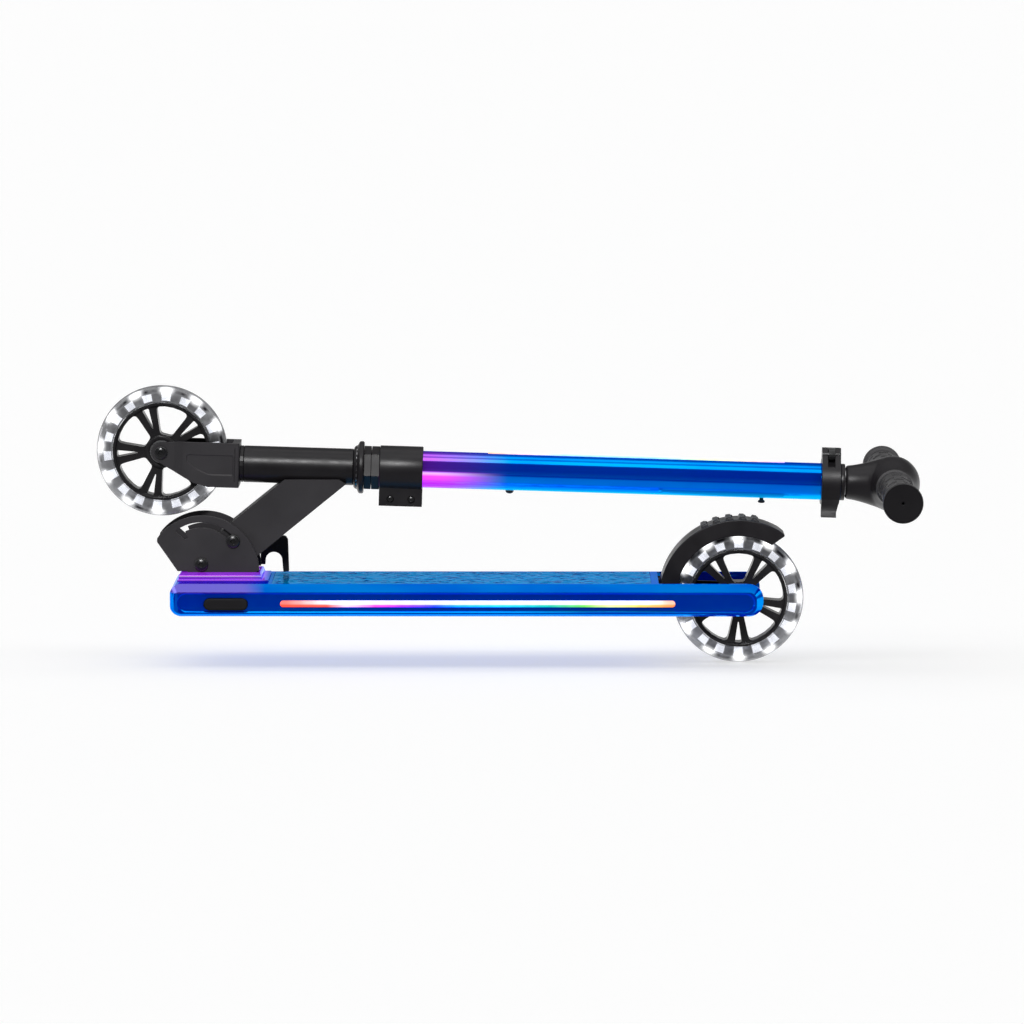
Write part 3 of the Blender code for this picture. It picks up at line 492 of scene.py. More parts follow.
def pressed_look(name):
    """The candy blue of the pressed panel, with dark strokes and a fine relief."""
    made, tree, mirror = new_look(name)
    where = local(tree)
    strokes = ranged(tree, cloud(tree, stretched(tree, where, (95.0, 230.0, 95.0)), 1.0, 2.0), 0.53, 0.6)
    tint = mixed(tree, strokes, (0.0, 0.5, 0.95, 1.0), (0.0, 0.06, 0.5, 1.0))
    body = mixed(tree, strokes, (0.0, 0.42, 0.98, 1.0), (0.0, 0.03, 0.4, 1.0))
    plate_over(tree, mirror, tint, body)
    bump(tree, mirror, cloud(tree, stretched(tree, where, (160.0, 420.0, 160.0)), 1.0, 5.0), 0.25, 0.0008)
    return made


def plate_over(tree, mirror, tint, body):
    """Makes the shader a tinted mirror and mixes it with a matt body under it."""
    wear = ranged(tree, cloud(tree, local(tree), 140.0, 4.0), 0.4, 0.75, 0.035, 0.09)
    feed(tree, mirror, {"Base Color": tint, "Roughness": wear})
    mirror.inputs["Metallic"].default_value = 1.0
    mirror.inputs["Specular Tint"].default_value = (0.12, 0.6, 1.0, 1.0)
    deep = node(tree, "ShaderNodeBsdfPrincipled", {"Base Color": body, "Roughness": 0.5})
    deep.inputs["Specular IOR Level"].default_value = 0.0
    blend = node(tree, "ShaderNodeMixShader", {0: 0.42, 1: mirror.outputs[0], 2: deep.outputs[0]})
    tree.links.new(blend.outputs[0], tree.nodes["Material Output"].inputs["Surface"])


def add_stem_painted_reflection(made):
    """A painted reflection of the light strips on the stem's lower side, as emission on the left: magenta by
    the clamp, cyan along the rest.
    """
    tree = made.node_tree
    mirror = tree.nodes["Principled BSDF"]
    where = local(tree)
    along, across, _ = node(tree, "ShaderNodeSeparateXYZ", {0: where}).outputs
    upward = COLUMN.to_3x3() @ Vector((0.0, 0.0, 1.0))
    lift = node(tree, "ShaderNodeVectorMath", {0: where, 1: upward}, operation="DOT_PRODUCT").outputs[1]
    height = maths(tree, "SUBTRACT", lift, upward.dot(COLUMN.translation) * MM)
    share = node(tree, "ShaderNodeMapRange", {0: height, 1: -TUBE_R * MM, 2: 0.0005}).outputs[0]
    near_clamp = ranged(tree, along, 0.0, -0.07)
    shown = mixed(tree, near_clamp, ramp(tree, share, STRIP_REFLECTION_CYAN_STOPS), ramp(tree, share, STRIP_REFLECTION_MAGENTA_STOPS))
    level = ranged(tree, across, 0.006, -0.004, 0.0, 1.6)
    feed(tree, mirror, {"Emission Color": shown, "Emission Strength": level})
    return made


def add_nose_painted_highlights(made):
    """Painted highlights and glow on the nose cover's sloping sides: thin bright lines between violet bands,
    as emission by height.
    """
    tree = made.node_tree
    mirror = tree.nodes["Principled BSDF"]
    along, _, up = node(tree, "ShaderNodeSeparateXYZ", {0: local(tree)}).outputs
    share = node(tree, "ShaderNodeMapRange", {0: up, 1: NOSE_LOW.z * MM, 2: NOSE_HIGH.z * MM}).outputs[0]
    level = ranged(tree, along, -0.227, -0.237, 0.1, 1.0)
    feed(tree, mirror, {"Emission Color": ramp(tree, share, NOSE_HIGHLIGHT_STOPS), "Emission Strength": level})
    return made


def polar(tree):
    """Angle in radians and radius in metres of a point about its object's Y axis."""
    x, _, z = node(tree, "ShaderNodeSeparateXYZ", {0: local(tree)}).outputs
    square = maths(tree, "ADD", maths(tree, "MULTIPLY", x, x), maths(tree, "MULTIPLY", z, z))
    return maths(tree, "ARCTAN2", z, x), maths(tree, "SQRT", square)


def off_nearest(tree, angle, first, count):
    """The angle from the nearest of count places round the wheel, the first of them at first, in degrees."""
    shifted = maths(tree, "ADD", angle, math.tau * 2 - math.radians(first))
    return maths(tree, "PINGPONG", shifted, math.pi / count)


def off_radius(tree, radius, place):
    return maths(tree, "ABSOLUTE", maths(tree, "SUBTRACT", radius, place))


def tyre_painted_light_look(name, lamp_angle, block_angle):
    """Clear urethane with a painted glow round each lamp, and painted shade, broken up by noise, between the
    lamps and over the gaps between the blocks.
    """
    made, tree, shader = new_look(name)
    angle, radius = polar(tree)
    off_lamp = off_nearest(tree, angle, lamp_angle, LAMPS)
    # Painted glow: emission round each lamp stands in for the lamps' light spreading in the tyre.
    near = ranged(tree, off_lamp, 0.0, math.radians(9.5), 1.0, 0.0)
    inside = ranged(tree, off_radius(tree, radius, 0.0575), 0.0, 0.0055, 1.0, 0.0)
    painted_lamp_glow = maths(tree, "MULTIPLY", near, inside)
    # Painted shade: the tyre darker and less clear between the lamps and over the gaps between the blocks,
    # broken up by noise.
    shade_noise = cloud(tree, stretched(tree, local(tree), (60.0, 20.0, 60.0)), 1.0, 3.0)
    between = ranged(tree, off_lamp, math.radians(4.0), math.radians(11.0))
    outer_band = ranged(tree, off_radius(tree, radius, 0.0583), 0.0005, 0.0032, 1.0, 0.0)
    outer_shade_noise = ranged(tree, shade_noise, 0.36, 0.6, 0.45, 1.0)
    dark = maths(tree, "MULTIPLY", maths(tree, "MULTIPLY", between, outer_band), outer_shade_noise)
    off_block = off_nearest(tree, angle, block_angle, BLOCKS)
    gap = ranged(tree, off_block, math.radians(4.9), math.radians(5.9))
    inner_band = ranged(tree, off_radius(tree, radius, 0.052), 0.003, 0.005, 0.75, 0.0)
    inner_shade_noise = ranged(tree, shade_noise, 0.35, 0.6, 0.4, 1.0)
    painted_gap_shade = maths(tree, "MULTIPLY", maths(tree, "MULTIPLY", inner_band, gap), inner_shade_noise)
    # Darker at the tread's rim.
    edge = ranged(tree, radius, 0.0606, 0.0618, 0.0, 0.75)
    shade = maths(tree, "MAXIMUM", maths(tree, "MAXIMUM", dark, painted_gap_shade), edge)
    feed(tree, shader, {
        "Base Color": mixed(tree, shade, (0.86, 0.87, 0.9, 1.0), (0.022, 0.02, 0.024, 1.0)),
        "Transmission Weight": maths(tree, "SUBTRACT", 0.84, maths(tree, "MULTIPLY", shade, 0.72)),
        "Emission Color": (1.0, 1.0, 1.0, 1.0),
        "Emission Strength": maths(tree, "MULTIPLY", painted_lamp_glow, 0.8),
    })
    shader.inputs["Roughness"].default_value = 0.12
    shader.inputs["IOR"].default_value = 1.35
    return made


def block_look(name, first_block):
    """Frosted white blocks lit from within, with darker edges."""
    made = diffuser_look(name, 1.3)
    tree = made.node_tree
    shader = tree.nodes["Principled BSDF"]
    angle, radius = polar(tree)
    off_block = off_nearest(tree, angle, first_block, BLOCKS)
    sides = ranged(tree, off_block, math.radians(4.5), math.radians(5.1))
    inner = ranged(tree, radius, 0.0492, 0.0486)
    outer = ranged(tree, radius, 0.0546, 0.0554)
    edge = maths(tree, "MAXIMUM", sides, maths(tree, "MAXIMUM", inner, outer))
    lit = shader.inputs["Emission Strength"].links[0].from_socket
    base = shader.inputs["Base Color"].links[0].from_socket
    feed(tree, shader, {
        "Base Color": mixed(tree, edge, base, (0.02, 0.02, 0.022, 1.0)),
        "Emission Strength": maths(tree, "MULTIPLY", lit, maths(tree, "SUBTRACT", 1.0, edge)),
    })
    return made


def diffuser_look(name, strength):
    """Frosted white plastic lit from within."""
    made, tree, shader = new_look(name)
    tone = cloud(tree, local(tree), 120.0)
    feed(tree, shader, {
        "Base Color": mixed(tree, tone, (0.7, 0.7, 0.73, 1.0), (0.98, 0.98, 1.0, 1.0)),
        "Roughness": 0.3,
        "Emission Color": (0.96, 0.97, 1.0, 1.0),
        "Emission Strength": ranged(tree, tone, 0.3, 0.7, 0.7 * strength, strength),
    })
    return made


# Colours of the stem's painted reflection of the light strips by the clamp, from the tube's bottom up to its
# middle.
STRIP_REFLECTION_MAGENTA_STOPS = [
    (0.0, (0.4, 0.03, 0.8)),
    (0.3, (0.6, 0.01, 0.75)),
    (0.72, (1.0, 0.06, 1.0)),
    (0.88, (1.0, 0.6, 1.0)),
    (0.97, (0.3, 0.02, 0.5)),
    (1.0, (0.0, 0.0, 0.0)),
]
# The nose cover's painted highlights and glow, from bottom to top: bright lines between violet bands.
NOSE_HIGHLIGHT_STOPS = [
    (0.0, (0.02, 0.02, 0.25)),
    (0.14, (0.04, 0.0, 0.3)),
    (0.21, (0.75, 0.2, 1.0)),
    (0.28, (0.2, 0.02, 0.6)),
    (0.54, (0.14, 0.01, 0.5)),
    (0.6, (1.0, 0.75, 1.0)),
    (0.66, (0.2, 0.02, 0.6)),
    (0.9, (0.35, 0.03, 0.6)),
    (1.0, (0.05, 0.0, 0.2)),
]
# Colours of the stem's painted reflection of the light strips along the rest, from the tube's bottom up to
# its middle.
STRIP_REFLECTION_CYAN_STOPS = [
    (0.0, (0.01, 0.4, 0.5)),
    (0.2, (0.0, 0.25, 0.45)),
    (0.36, (0.0, 0.06, 0.22)),
    (0.8, (0.0, 0.05, 0.2)),
    (0.88, (0.0, 0.0, 0.02)),
    (1.0, (0.0, 0.0, 0.0)),
]
SIDE_STOPS = [
    (0.0, (0.85, 0.06, 0.03)),
    (0.12, (0.95, 0.07, 0.05)),
    (0.17, (1.0, 0.55, 0.75)),
    (0.24, (0.85, 0.05, 0.55)),
    (0.31, (0.35, 0.03, 0.85)),
    (0.39, (0.02, 0.06, 0.95)),
    (0.45, (0.0, 0.35, 0.95)),
    (0.55, (0.01, 0.55, 0.8)),
    (0.68, (0.0, 0.45, 0.35)),
    (0.77, (0.12, 0.6, 0.08)),
    (0.84, (0.75, 0.9, 0.3)),
    (0.91, (0.9, 0.55, 0.1)),
    (1.0, (1.0, 0.2, 0.05)),
]
STEM_STOPS = [
    (0.0, (1.0, 0.55, 0.35)),
    (0.12, (1.0, 0.6, 0.65)),
    (0.25, (0.2, 0.7, 0.95)),
    (0.55, (0.15, 0.75, 0.85)),
    (0.7, (0.65, 0.95, 0.4)),
    (0.8, (1.0, 0.85, 0.4)),
    (0.92, (1.0, 0.5, 0.55)),
    (1.0, (0.6, 0.5, 1.0)),
]


def strip_look(name, low, high, stops, core_low, core_high, strength):
    """A lit strip whose colour runs along X, with a paler core above a coloured lower edge.

    low and high are the strip's ends in X, and core_low and core_high are the heights where the coloured edge
    turns into the core, all in metres.
    """
    made, tree, shader = new_look(name)
    along, _, up = node(tree, "ShaderNodeSeparateXYZ", {0: local(tree)}).outputs
    share = maths(tree, "DIVIDE", maths(tree, "SUBTRACT", along, low), high - low)
    front_end = ranged(tree, share, 0.0, 0.16, 0.12, 1.0)
    rear_end = ranged(tree, share, 1.0, 0.92, 0.3, 1.0)
    ends = maths(tree, "MULTIPLY", front_end, rear_end)
    core = maths(tree, "MULTIPLY", ranged(tree, up, core_low, core_high, 0.0, 0.86), ends)
    shown = mixed(tree, core, ramp(tree, share, stops), (1.0, 0.97, 1.0, 1.0))
    lamps = maths(tree, "PINGPONG", along, 0.006)
    level = ranged(tree, lamps, 0.0, 0.006, strength, 0.86 * strength)
    feed(tree, shader, {"Base Color": shown, "Emission Color": shown})
    feed(tree, shader, {"Emission Strength": level, "Roughness": 0.25})
    return made


PAINT = satin(
    "satin_black_paint", (0.006, 0.0054, 0.0063), (0.009, 0.0082, 0.0095), 0.36, 2600.0, 0.08, specular=0.22
)
PLATE_PAINT = satin(
    "matt_charcoal_paint", (0.015, 0.014, 0.016), (0.02, 0.0185, 0.021), 0.5, 2600.0, 0.12, specular=0.25
)
PLASTIC = satin(
    "moulded_black_plastic", (0.006, 0.0054, 0.0063), (0.0095, 0.0085, 0.01), 0.36, 1500.0, 0.1, specular=0.22
)
RIM_PLASTIC = satin(
    "wheel_core_plastic", (0.0055, 0.005, 0.006), (0.009, 0.0085, 0.0095), 0.3, 1800.0, 0.1, specular=0.35
)
RUBBER = satin("grip_rubber", (0.016, 0.015, 0.0165), (0.024, 0.023, 0.025), 0.45, 900.0, 0.15, specular=0.45)
CAP_RUBBER = satin(
    "grip_end_rubber", (0.0045, 0.004, 0.005), (0.007, 0.0065, 0.0075), 0.6, 1200.0, 0.15, specular=0.12
)
BOLT = satin("blackened_bolt", (0.008, 0.008, 0.009), (0.014, 0.014, 0.015), 0.24, 2200.0, 0.1, metallic=0.3)
BLACKS = (PAINT, PLATE_PAINT, PLASTIC, RIM_PLASTIC, RUBBER, CAP_RUBBER, BOLT)
STEEL = steel_look("zinc_steel", (0.62, 0.62, 0.64), 0.3)
# The stem's candy blue, with a painted reflection of the light strips on its lower side.
STEM_CANDY_AND_REFLECTION = add_stem_painted_reflection(candy_look("candy_blue_stem_painted_reflection", 0.015, -0.075))
DECK_CANDY = candy_look("candy_blue_deck", -0.222, -0.245, LILAC, tint_above=0.072, tint_share=0.75)
PANEL_CANDY = pressed_look("candy_blue_panel")
# The nose cover's candy violet, with painted highlights on its sloping sides.
NOSE_CANDY_AND_HIGHLIGHTS = add_nose_painted_highlights(candy_look("candy_violet_nose_painted_highlights", -0.222, -0.236, MAGENTA))
LAMP_LIGHT = diffuser_look("wheel_lamp", 1.2)
SIDE_LIGHT = strip_look(
    "side_light_strip", STRIP_LOW.x * MM, STRIP_HIGH.x * MM, SIDE_STOPS, 0.0612, 0.0634, 1.05
)
STEM_LIGHT = strip_look("stem_light_strip", -0.02, 0.27, STEM_STOPS, 0.0, 0.6, 0.95)


# Wheels


def window(half_inner, half_outer, inner_r, outer_r, angle, radius):
    """A window between two spoke pairs: an outer arc, straight sides and an inner chord, corners rounded."""
    inner = arc((0.0, 0.0), inner_r, angle + half_inner, angle - half_inner, 1)
    waist = (inner_r + outer_r) * 0.6
    left = arc((0.0, 0.0), waist, angle - half_outer * 1.02, angle, 1)[:1]
    right = arc((0.0, 0.0), waist, angle + half_outer * 1.02, angle, 1)[:1]
    outer = arc((0.0, 0.0), outer_r, angle - half_outer, angle + half_outer, 4)
    outline = outer + right + inner + left
    radii = [radius] + [0.0] * 3 + [radius, 30.0, radius * 0.7, radius * 0.7, 30.0]
    return rounded(outline, radii, 6)


def wheel_turn(angle):
    """A turn about the wheel's axis, from +X up, in degrees."""
    return Matrix.Rotation(-math.radians(angle), 4, "Y")


def rim_shape(first_angle):
    """The wheel core: barrel, hub and five split spokes with rounded windows, drawn with one pair down."""
    pitch = 360.0 / SPOKE_PAIRS
    wide = []
    narrow = []
    for pair in range(SPOKE_PAIRS):
        angle = -90.0 + pair * pitch
        wide.append(window(19.0, 21.0, 16.8, 43.0, angle + pitch / 2, 5.0))
        tip = arc((0.0, 0.0), 23.0, angle - 1.2, angle + 1.2, 1)
        outer = arc((0.0, 0.0), 42.6, angle + 4.4, angle - 4.4, 2)
        narrow.append(rounded(tip + outer, [0.4, 0.4, 1.0, 0.0, 1.0], 3))
    web = prism(circle((0.0, 0.0), 45.4, 120), -8.6, 8.6, [*wide, *narrow])
    barrel = both_ends([(43.4, 10.4), (44.3, 11.4), (RIM_R, 11.4)])
    ends = [(0.0, HUB_HALF - 7.0), (11.1, HUB_HALF - 7.0), (11.1, HUB_HALF - 0.4), (12.0, HUB_HALF)]
    hub = both_ends([*ends, (14.4, HUB_HALF), (15.2, HUB_HALF - 0.9)])
    core = joined(web, lathe(barrel, ALONG_Y, 120), lathe(hub, ALONG_Y, 72))
    return turn(core, wheel_turn(first_angle + 90.0))


def tyre_shape():
    """A solid tyre with soft shoulders and a groove inside it for the light ring."""
    inner = RIM_R + 0.4
    groove = 5.6
    shoulder = [(52.0, TYRE_HALF), (59.6, TYRE_HALF - 3.2)]
    profile = both_ends([(inner, groove), (inner, 10.6), *shoulder, (TYRE_R, 3.0)])
    profile += [(56.8, groove), (56.8, -groove)]
    radii = [0.4, 1.2] + [9.0] * 6 + [1.2, 0.4, 0.6, 0.6]
    return lathe(rounded(profile, radii, 5), ALONG_Y, 144)


def light_ring_shape(first_angle):
    """A thin band with eighteen frosted blocks standing on it."""
    blocks = turn(ring(RIM_R + 0.7, 48.4, -5.0, 5.0, 96), ALONG_Y)
    outline = rounded([(48.0, -4.4), (55.6, -4.8), (55.6, 4.8), (48.0, 4.4)], 1.4, 3)
    for block in range(BLOCKS):
        beside(blocks, turn(prism(outline, -5.2, 5.2), wheel_turn(first_angle + block * 360.0 / BLOCKS)))
    return blocks


def lamp_shape(first_angle):
    """Twelve small lamps on the light ring, one dome to each side."""
    lamps = bmesh.new()
    dome = [(0.0, -5.5), (1.3, -5.3), (1.8, -4.6), (1.8, 4.6), (1.3, 5.3), (0.0, 5.5)]
    for lamp in range(LAMPS):
        spin = wheel_turn(first_angle + lamp * 360.0 / LAMPS)
        beside(lamps, lathe(dome, spin @ at(54.2, 0.0, 0.0) @ ALONG_Y, 16))
    return lamps


def add_wheel(name, centre, first_spoke, first_block, first_lamp):
    """One wheel; the angles are those of its first spoke pair, light block and lamp, in degrees."""
    place = Matrix.Translation(centre)
    light_ring = [f"{name}_led_ring"]
    add_piece(f"{name}_core", rim_shape(first_spoke), RIM_PLASTIC, [f"{name}_rim"], place, centre, bevel=0.7)
    clear = tyre_painted_light_look(f"clear_tyre_painted_light_{name}", first_lamp, first_block)
    tyre = add_piece(f"{name}_soft_tyre", tyre_shape(), clear, [f"{name}_tyre"], place, centre)
    frosted = block_look(f"{name}_light_block", first_block)
    blocks = light_ring_shape(first_block)
    light = add_piece(f"{name}_light_blocks", blocks, frosted, light_ring, place, centre)
    add_piece(f"{name}_lamps", lamp_shape(first_lamp), LAMP_LIGHT, light_ring, place, centre)
    for side in ("left", "right"):
        dress(f"{name}_bearing_{side}", STEEL, 0.4)


# Deck


def loft(loops):
    """A solid through outlines of equal length, each with its Y; the first and last are closed by a face."""
    shape = bmesh.new()
    rows = [[shape.verts.new((x, y, z)) for x, z in outline] for y, outline in loops]
    for near, far in zip(rows, rows[1:]):
        for place in range(len(near)):
            after = (place + 1) % len(near)
            shape.faces.new((near[place], near[after], far[after], far[place]))
    shape.faces.new(rows[0])
    shape.faces.new(rows[-1])
    return shape


def deck_side(front, rear, above, below):
    """The deck's side outline, moved in by these distances."""
    left, right = DECK_LOW.x + front, DECK_HIGH.x - rear
    bottom, top = DECK_LOW.z + below, DECK_HIGH.z - above
    corners = [(left, bottom), (right, bottom), (right, top), (left, top)]
    return rounded(corners, [11.0 - front, 14.0 - rear, 14.0 - rear, 11.0 - front], 10)


def deck_block():
    """The deck's outline, with chamfers that wrap round its ends and rounded front corners in plan."""
    half, corner = DECK_HIGH.y, 12.0
    full = deck_side(0.0, 0.0, 0.0, 0.0)
    face = deck_side(5.5, 6.5, 7.0, 3.4)
    block = loft([(-half, face), (8.0 - half, full), (half - 8.0, full), (half, face)])
    plan = [(400.0, -60.0), (400.0, 60.0)]
    plan += arc((DECK_LOW.x + corner, half - corner), corner, 90.0, 180.0, 10)
    plan += arc((DECK_LOW.x + corner, corner - half), corner, 180.0, 270.0, 10)
    return common(block, turn(prism(plan, 0.0, 100.0), Matrix.Rotation(math.radians(90), 4, "X")))


def deck_shell_shape():
    """The deck's body with its panel bed, rear slot, side recesses, light grooves and switch pocket."""
    half = DECK_HIGH.y
    room = 0.4
    cuts = [box((SLOT_FRONT, -ARM_INNER, 0.0), (300.0, ARM_INNER, 120.0))]
    low, high = PANEL_LOW - Vector((room, room, 0.0)), PANEL_HIGH + Vector((room, room, 0.0))
    bed = rounded([(low.x, low.y), (high.x, low.y), (high.x, high.y), (low.x, high.y)], 3.0)
    cuts.append(turn(prism(bed, -90.0, -DECK_HIGH.z + 1.2), FROM_PLAN))
    left, right = DECK_LOW.x + 8.2, DECK_HIGH.x - 9.5
    floor = capsule(left, right, 56.0, 71.8, 16)
    mouth = capsule(left - 1.6, right + 1.6, 54.4, 73.4, 16)
    strip = capsule(STRIP_LOW.x - room, STRIP_HIGH.x + room, STRIP_BOTTOM - room, STRIP_TOP + room)
    pocket = capsule(SWITCH_LOW.x - room, SWITCH_HIGH.x + room, SWITCH_LOW.z - room, SWITCH_HIGH.z + room)
    lip_end = left + 150.0
    wedge = [(left, 57.6), (left, 53.2), (lip_end, 55.7), (lip_end, 56.1)]
    tip = [(left, 57.6), (left, 57.5), (lip_end, 56.05), (lip_end, 56.1)]
    for sign in SIDES:
        cuts.append(loft([(sign * (half - 1.6), floor), (sign * (half + 0.2), mouth), (sign * 70.0, mouth)]))
        cuts.append(loft([(sign * (half - 1.7), tip), (sign * (half + 0.4), wedge)]))
        cuts.append(side_prism(strip, sign, 50.2, 60.0))
    press = 1.8
    cuts.append(prism(pocket, -60.0, SWITCH_HIGH.y + press))
    return cut(deck_block(), *cuts)


def panel_shape():
    """The deck's top plate with a leathery relief pressed into it."""
    step = 1.3
    columns = round((PANEL_HIGH.x - PANEL_LOW.x) / step)
    rows = round((PANEL_HIGH.y - PANEL_LOW.y) / step)
    shape = bmesh.new()
    grid = []
    for column in range(columns + 1):
        line = []
        for row in range(rows + 1):
            x = PANEL_LOW.x + (PANEL_HIGH.x - PANEL_LOW.x) * column / columns
            y = PANEL_LOW.y + (PANEL_HIGH.y - PANEL_LOW.y) * row / rows
            edge = min(column, columns - column, row, rows - row) / 3.0
            where = Vector((x * 0.075, y * 0.05, 0.0))
            warped = where + 0.8 * noise.noise_vector(where * 0.9)
            ridge = 1.0 - abs(noise.noise(warped * 1.7))
            fine = noise.noise(warped * 4.1)
            relief = 0.8 * (ridge**4 - 0.4) + 0.3 * fine
            line.append(shape.verts.new((x, y, PANEL_HIGH.z - 0.55 + min(1.0, edge) * 0.5 * relief)))
        grid.append(line)
    for column in range(columns):
        for row in range(rows):
            near, far = grid[column], grid[column + 1]
            shape.faces.new((near[row], far[row], far[row + 1], near[row + 1]))
    border = [edge for edge in shape.edges if edge.is_boundary]
    made = bmesh.ops.extrude_edge_only(shape, edges=border)
    low = [item for item in made["geom"] if isinstance(item, bmesh.types.BMVert)]
    for vert in low:
        vert.co.z = PANEL_LOW.z
    bmesh.ops.contextual_create(shape, geom=[edge for edge in shape.edges if edge.is_boundary])
    return shape


def nose_cover_shape():
    """A raised cover, crowned and open where the bracket comes through, on a thin flange."""
    low = DECK_HIGH.z + GAP
    front, rear, top, half = NOSE_LOW.x, NOSE_HIGH.x - 3.5, NOSE_HIGH.z, NOSE_HIGH.y
    flange = 83.2
    side = [(front + 1.2, low), (rear - 5.0, low), (rear - 8.0, top), (front + 1.2, top)]
    cover = prism(rounded(side, [0.0, 0.0, 2.5, 9.0], 8), -half, half)
    section = [(1.8 - half, low - 1.0), (half - 1.8, low - 1.0), (half - 1.8, 87.4), (19.0, top)]
    section += [(-19.0, top), (1.8 - half, 87.4)]
    along = turn(prism(rounded(section, [0.0, 0.0, 1.4, 3.0, 3.0, 1.4], 5), -400.0, 400.0), FROM_SECTION)
    foot_side = [(front, low), (rear, low), (rear, flange), (front, flange)]
    foot = prism(rounded(foot_side, [0.0, 0.0, 0.7, 1.2], 3), -half, half)
    opening = box((-306.4, -22.4, 70.0), (-237.6, 22.4, 100.0))
    return cut(joined(common(cover, along), foot), opening)


def add_deck():
    shell = add_piece("deck_body", deck_shell_shape(), DECK_CANDY, ["deck_shell"], bevel=0.7)
    panel = add_piece("deck_pressed_panel", panel_shape(), PANEL_CANDY, ["deck_top_panel"], sharp=60.0)
    cover = add_piece("nose_raised_cover", nose_cover_shape(), NOSE_CANDY_AND_HIGHLIGHTS, ["nose_cover"], bevel=0.6)
    for side in ("left", "right"):
        low, high = span(f"light_strip_{side}")
        lens = prism(capsule(low.x, high.x, STRIP_BOTTOM, STRIP_TOP), low.y, high.y)
        strip = add_piece(f"side_light_{side}", lens, SIDE_LIGHT, [f"light_strip_{side}"], bevel=0.8)
    pad = capsule(SWITCH_LOW.x, SWITCH_HIGH.x, SWITCH_LOW.z, SWITCH_HIGH.z)
    pad = prism(pad, SWITCH_LOW.y, SWITCH_HIGH.y)
    add_piece("light_switch_pad", pad, CAP_RUBBER, ["light_switch"], bevel=1.6, segments=5)
    dress("deck_base_plate", PLASTIC, 0.6)
    dress("battery_pack", PLASTIC, 1.0)


def add_dropouts():
    """Plates from the slot's front wall to the rear axle, each with a bent foot and a boss."""
    x, z = REAR_AXLE.x, REAR_AXLE.z
    foot_x = span("dropout_left")[0].x
    outline = [(foot_x, 53.0), (x, z - 12.0), *arc((x, z), 12.0, -90.0, 90.0, 20)[1:], (foot_x, 77.0)]
    for side in ("left", "right"):
        foot = box((foot_x, 20.0, 53.0), (foot_x + 3.3, 43.0, 77.0))
        boss = turn(rod(9.5, HUB_HALF + GAP, 20.0, 48), at(x, 0.0, z) @ ALONG_Y)
        shape = joined(prism(outline, 18.2, 22.2), foot, boss)
        if side == "left":
            mirrored(shape)
        add_piece(f"rear_fork_plate_{side}", shape, PAINT, [f"dropout_{side}"], bevel=0.8)


# Bolts


def add_bolt(name, place, head_r, head_height, shank_r, length):
    """A domed button-head bolt with a hexagon socket, its head's seat at z = 0."""
    dome = [(0.0, -head_height)]
    for step in range(1, 8):
        angle = math.radians(90.0 * step / 8)
        dome.append((head_r * math.sin(angle), -head_height * (0.25 + 0.75 * math.cos(angle))))
    dome += [(head_r, -head_height * 0.25), (head_r, 0.0), (shank_r, 0.0), (shank_r, length), (0.0, length)]
    socket = rod(head_r * 0.42, -head_height - 1.0, -head_height * 0.35, 6)
    bolt = cut(turned(dome, 48), socket)
    add_piece(f"{name}_domed", bolt, BOLT, [name], place, bevel=0.2, segments=2)


def hexagon(bore_r, corner_r, low, high, chamfer):
    """A hexagon nut with its corners chamfered on both faces."""
    profile = [(0.0, low), (corner_r - chamfer * 1.6, low), (corner_r, low + chamfer)]
    profile += [(corner_r, high - chamfer), (corner_r - chamfer * 1.6, high), (0.0, high)]
    nut = common(rod(corner_r, low, high, 6), turned(profile, 72))
    return cut(nut, rod(bore_r, low - 1.0, high + 1.0, 48))


def add_nut(name, place, bore_r, corner_r, low, high, look, chamfer=0.6):
    shape = hexagon(bore_r, corner_r, low, high, chamfer)
    add_piece(f"{name}_chamfered", shape, look, [name], place, bevel=0.3, segments=2)


# Fold bracket and neck


def add_bracket():
    """Two half-disc plates on a base, with a curved slot that ends in a notch, and the pivot bolt."""
    inner, outer = 19.0, BRACKET_HIGH.y
    plate_r = 54.0
    centre = (-291.6, BRACKET_HIGH.z - plate_r)
    foot = BRACKET_LOW.z
    level = NOSE_HIGH.z + GAP
    start = math.degrees(math.asin((level - centre[1]) / plate_r))
    arch = arc(centre, plate_r, start, 138.0, 48)
    corner = [(-240.0, foot), (-240.0, level)]
    left = [(BRACKET_LOW.x + 0.2, 121.5), (BRACKET_LOW.x, 118.0), (-315.4, level), (-306.0, level)]
    left = rounded([arch[-1], *left, (-306.0, foot)], [0.0, 2.0, 2.0, 0.0, 0.0, 0.0], 4)[1:]
    outline = corner + arch + left
    reach = (LOCK - PIVOT).length
    first = math.degrees(math.atan2(LOCK.z - PIVOT.z, LOCK.x - PIVOT.x))
    pivot = (PIVOT.x, PIVOT.z)
    wide = 2.6
    end = first + 88.2
    slot = arc(pivot, reach + wide, first, end, 36)
    slot += arc(spot(pivot, reach, end), wide, end, end + 80.0, 6)[1:-1]
    slot += [spot(pivot, reach - 9.0, end - 0.5), spot(pivot, reach - 9.4, end - 8.0)]
    slot += arc(pivot, reach - wide, end - 8.5, first, 32)
    slot += arc(spot(pivot, reach, first), wide, first + 180.0, first + 360.0, 8)[1:-1]
    plates = [side_prism(outline, sign, inner, outer, [slot]) for sign in SIDES]
    base = box((-305.0, -20.5, foot), (-241.0, 20.5, foot + 3.0))
    add_piece("fold_bracket_plates", joined(base, *plates), PLATE_PAINT, ["fold_bracket"], bevel=0.6)
    place = Matrix.Translation(PIVOT) @ ALONG_Y
    add_bolt("pivot_bolt", place @ at(0.0, 0.0, -outer - GAP), 6.5, 3.6, 4.0, 2 * outer + 6.8)
    add_nut("pivot_nut", place, 4.1, 7.2, outer + GAP, outer + 6.3, BOLT)


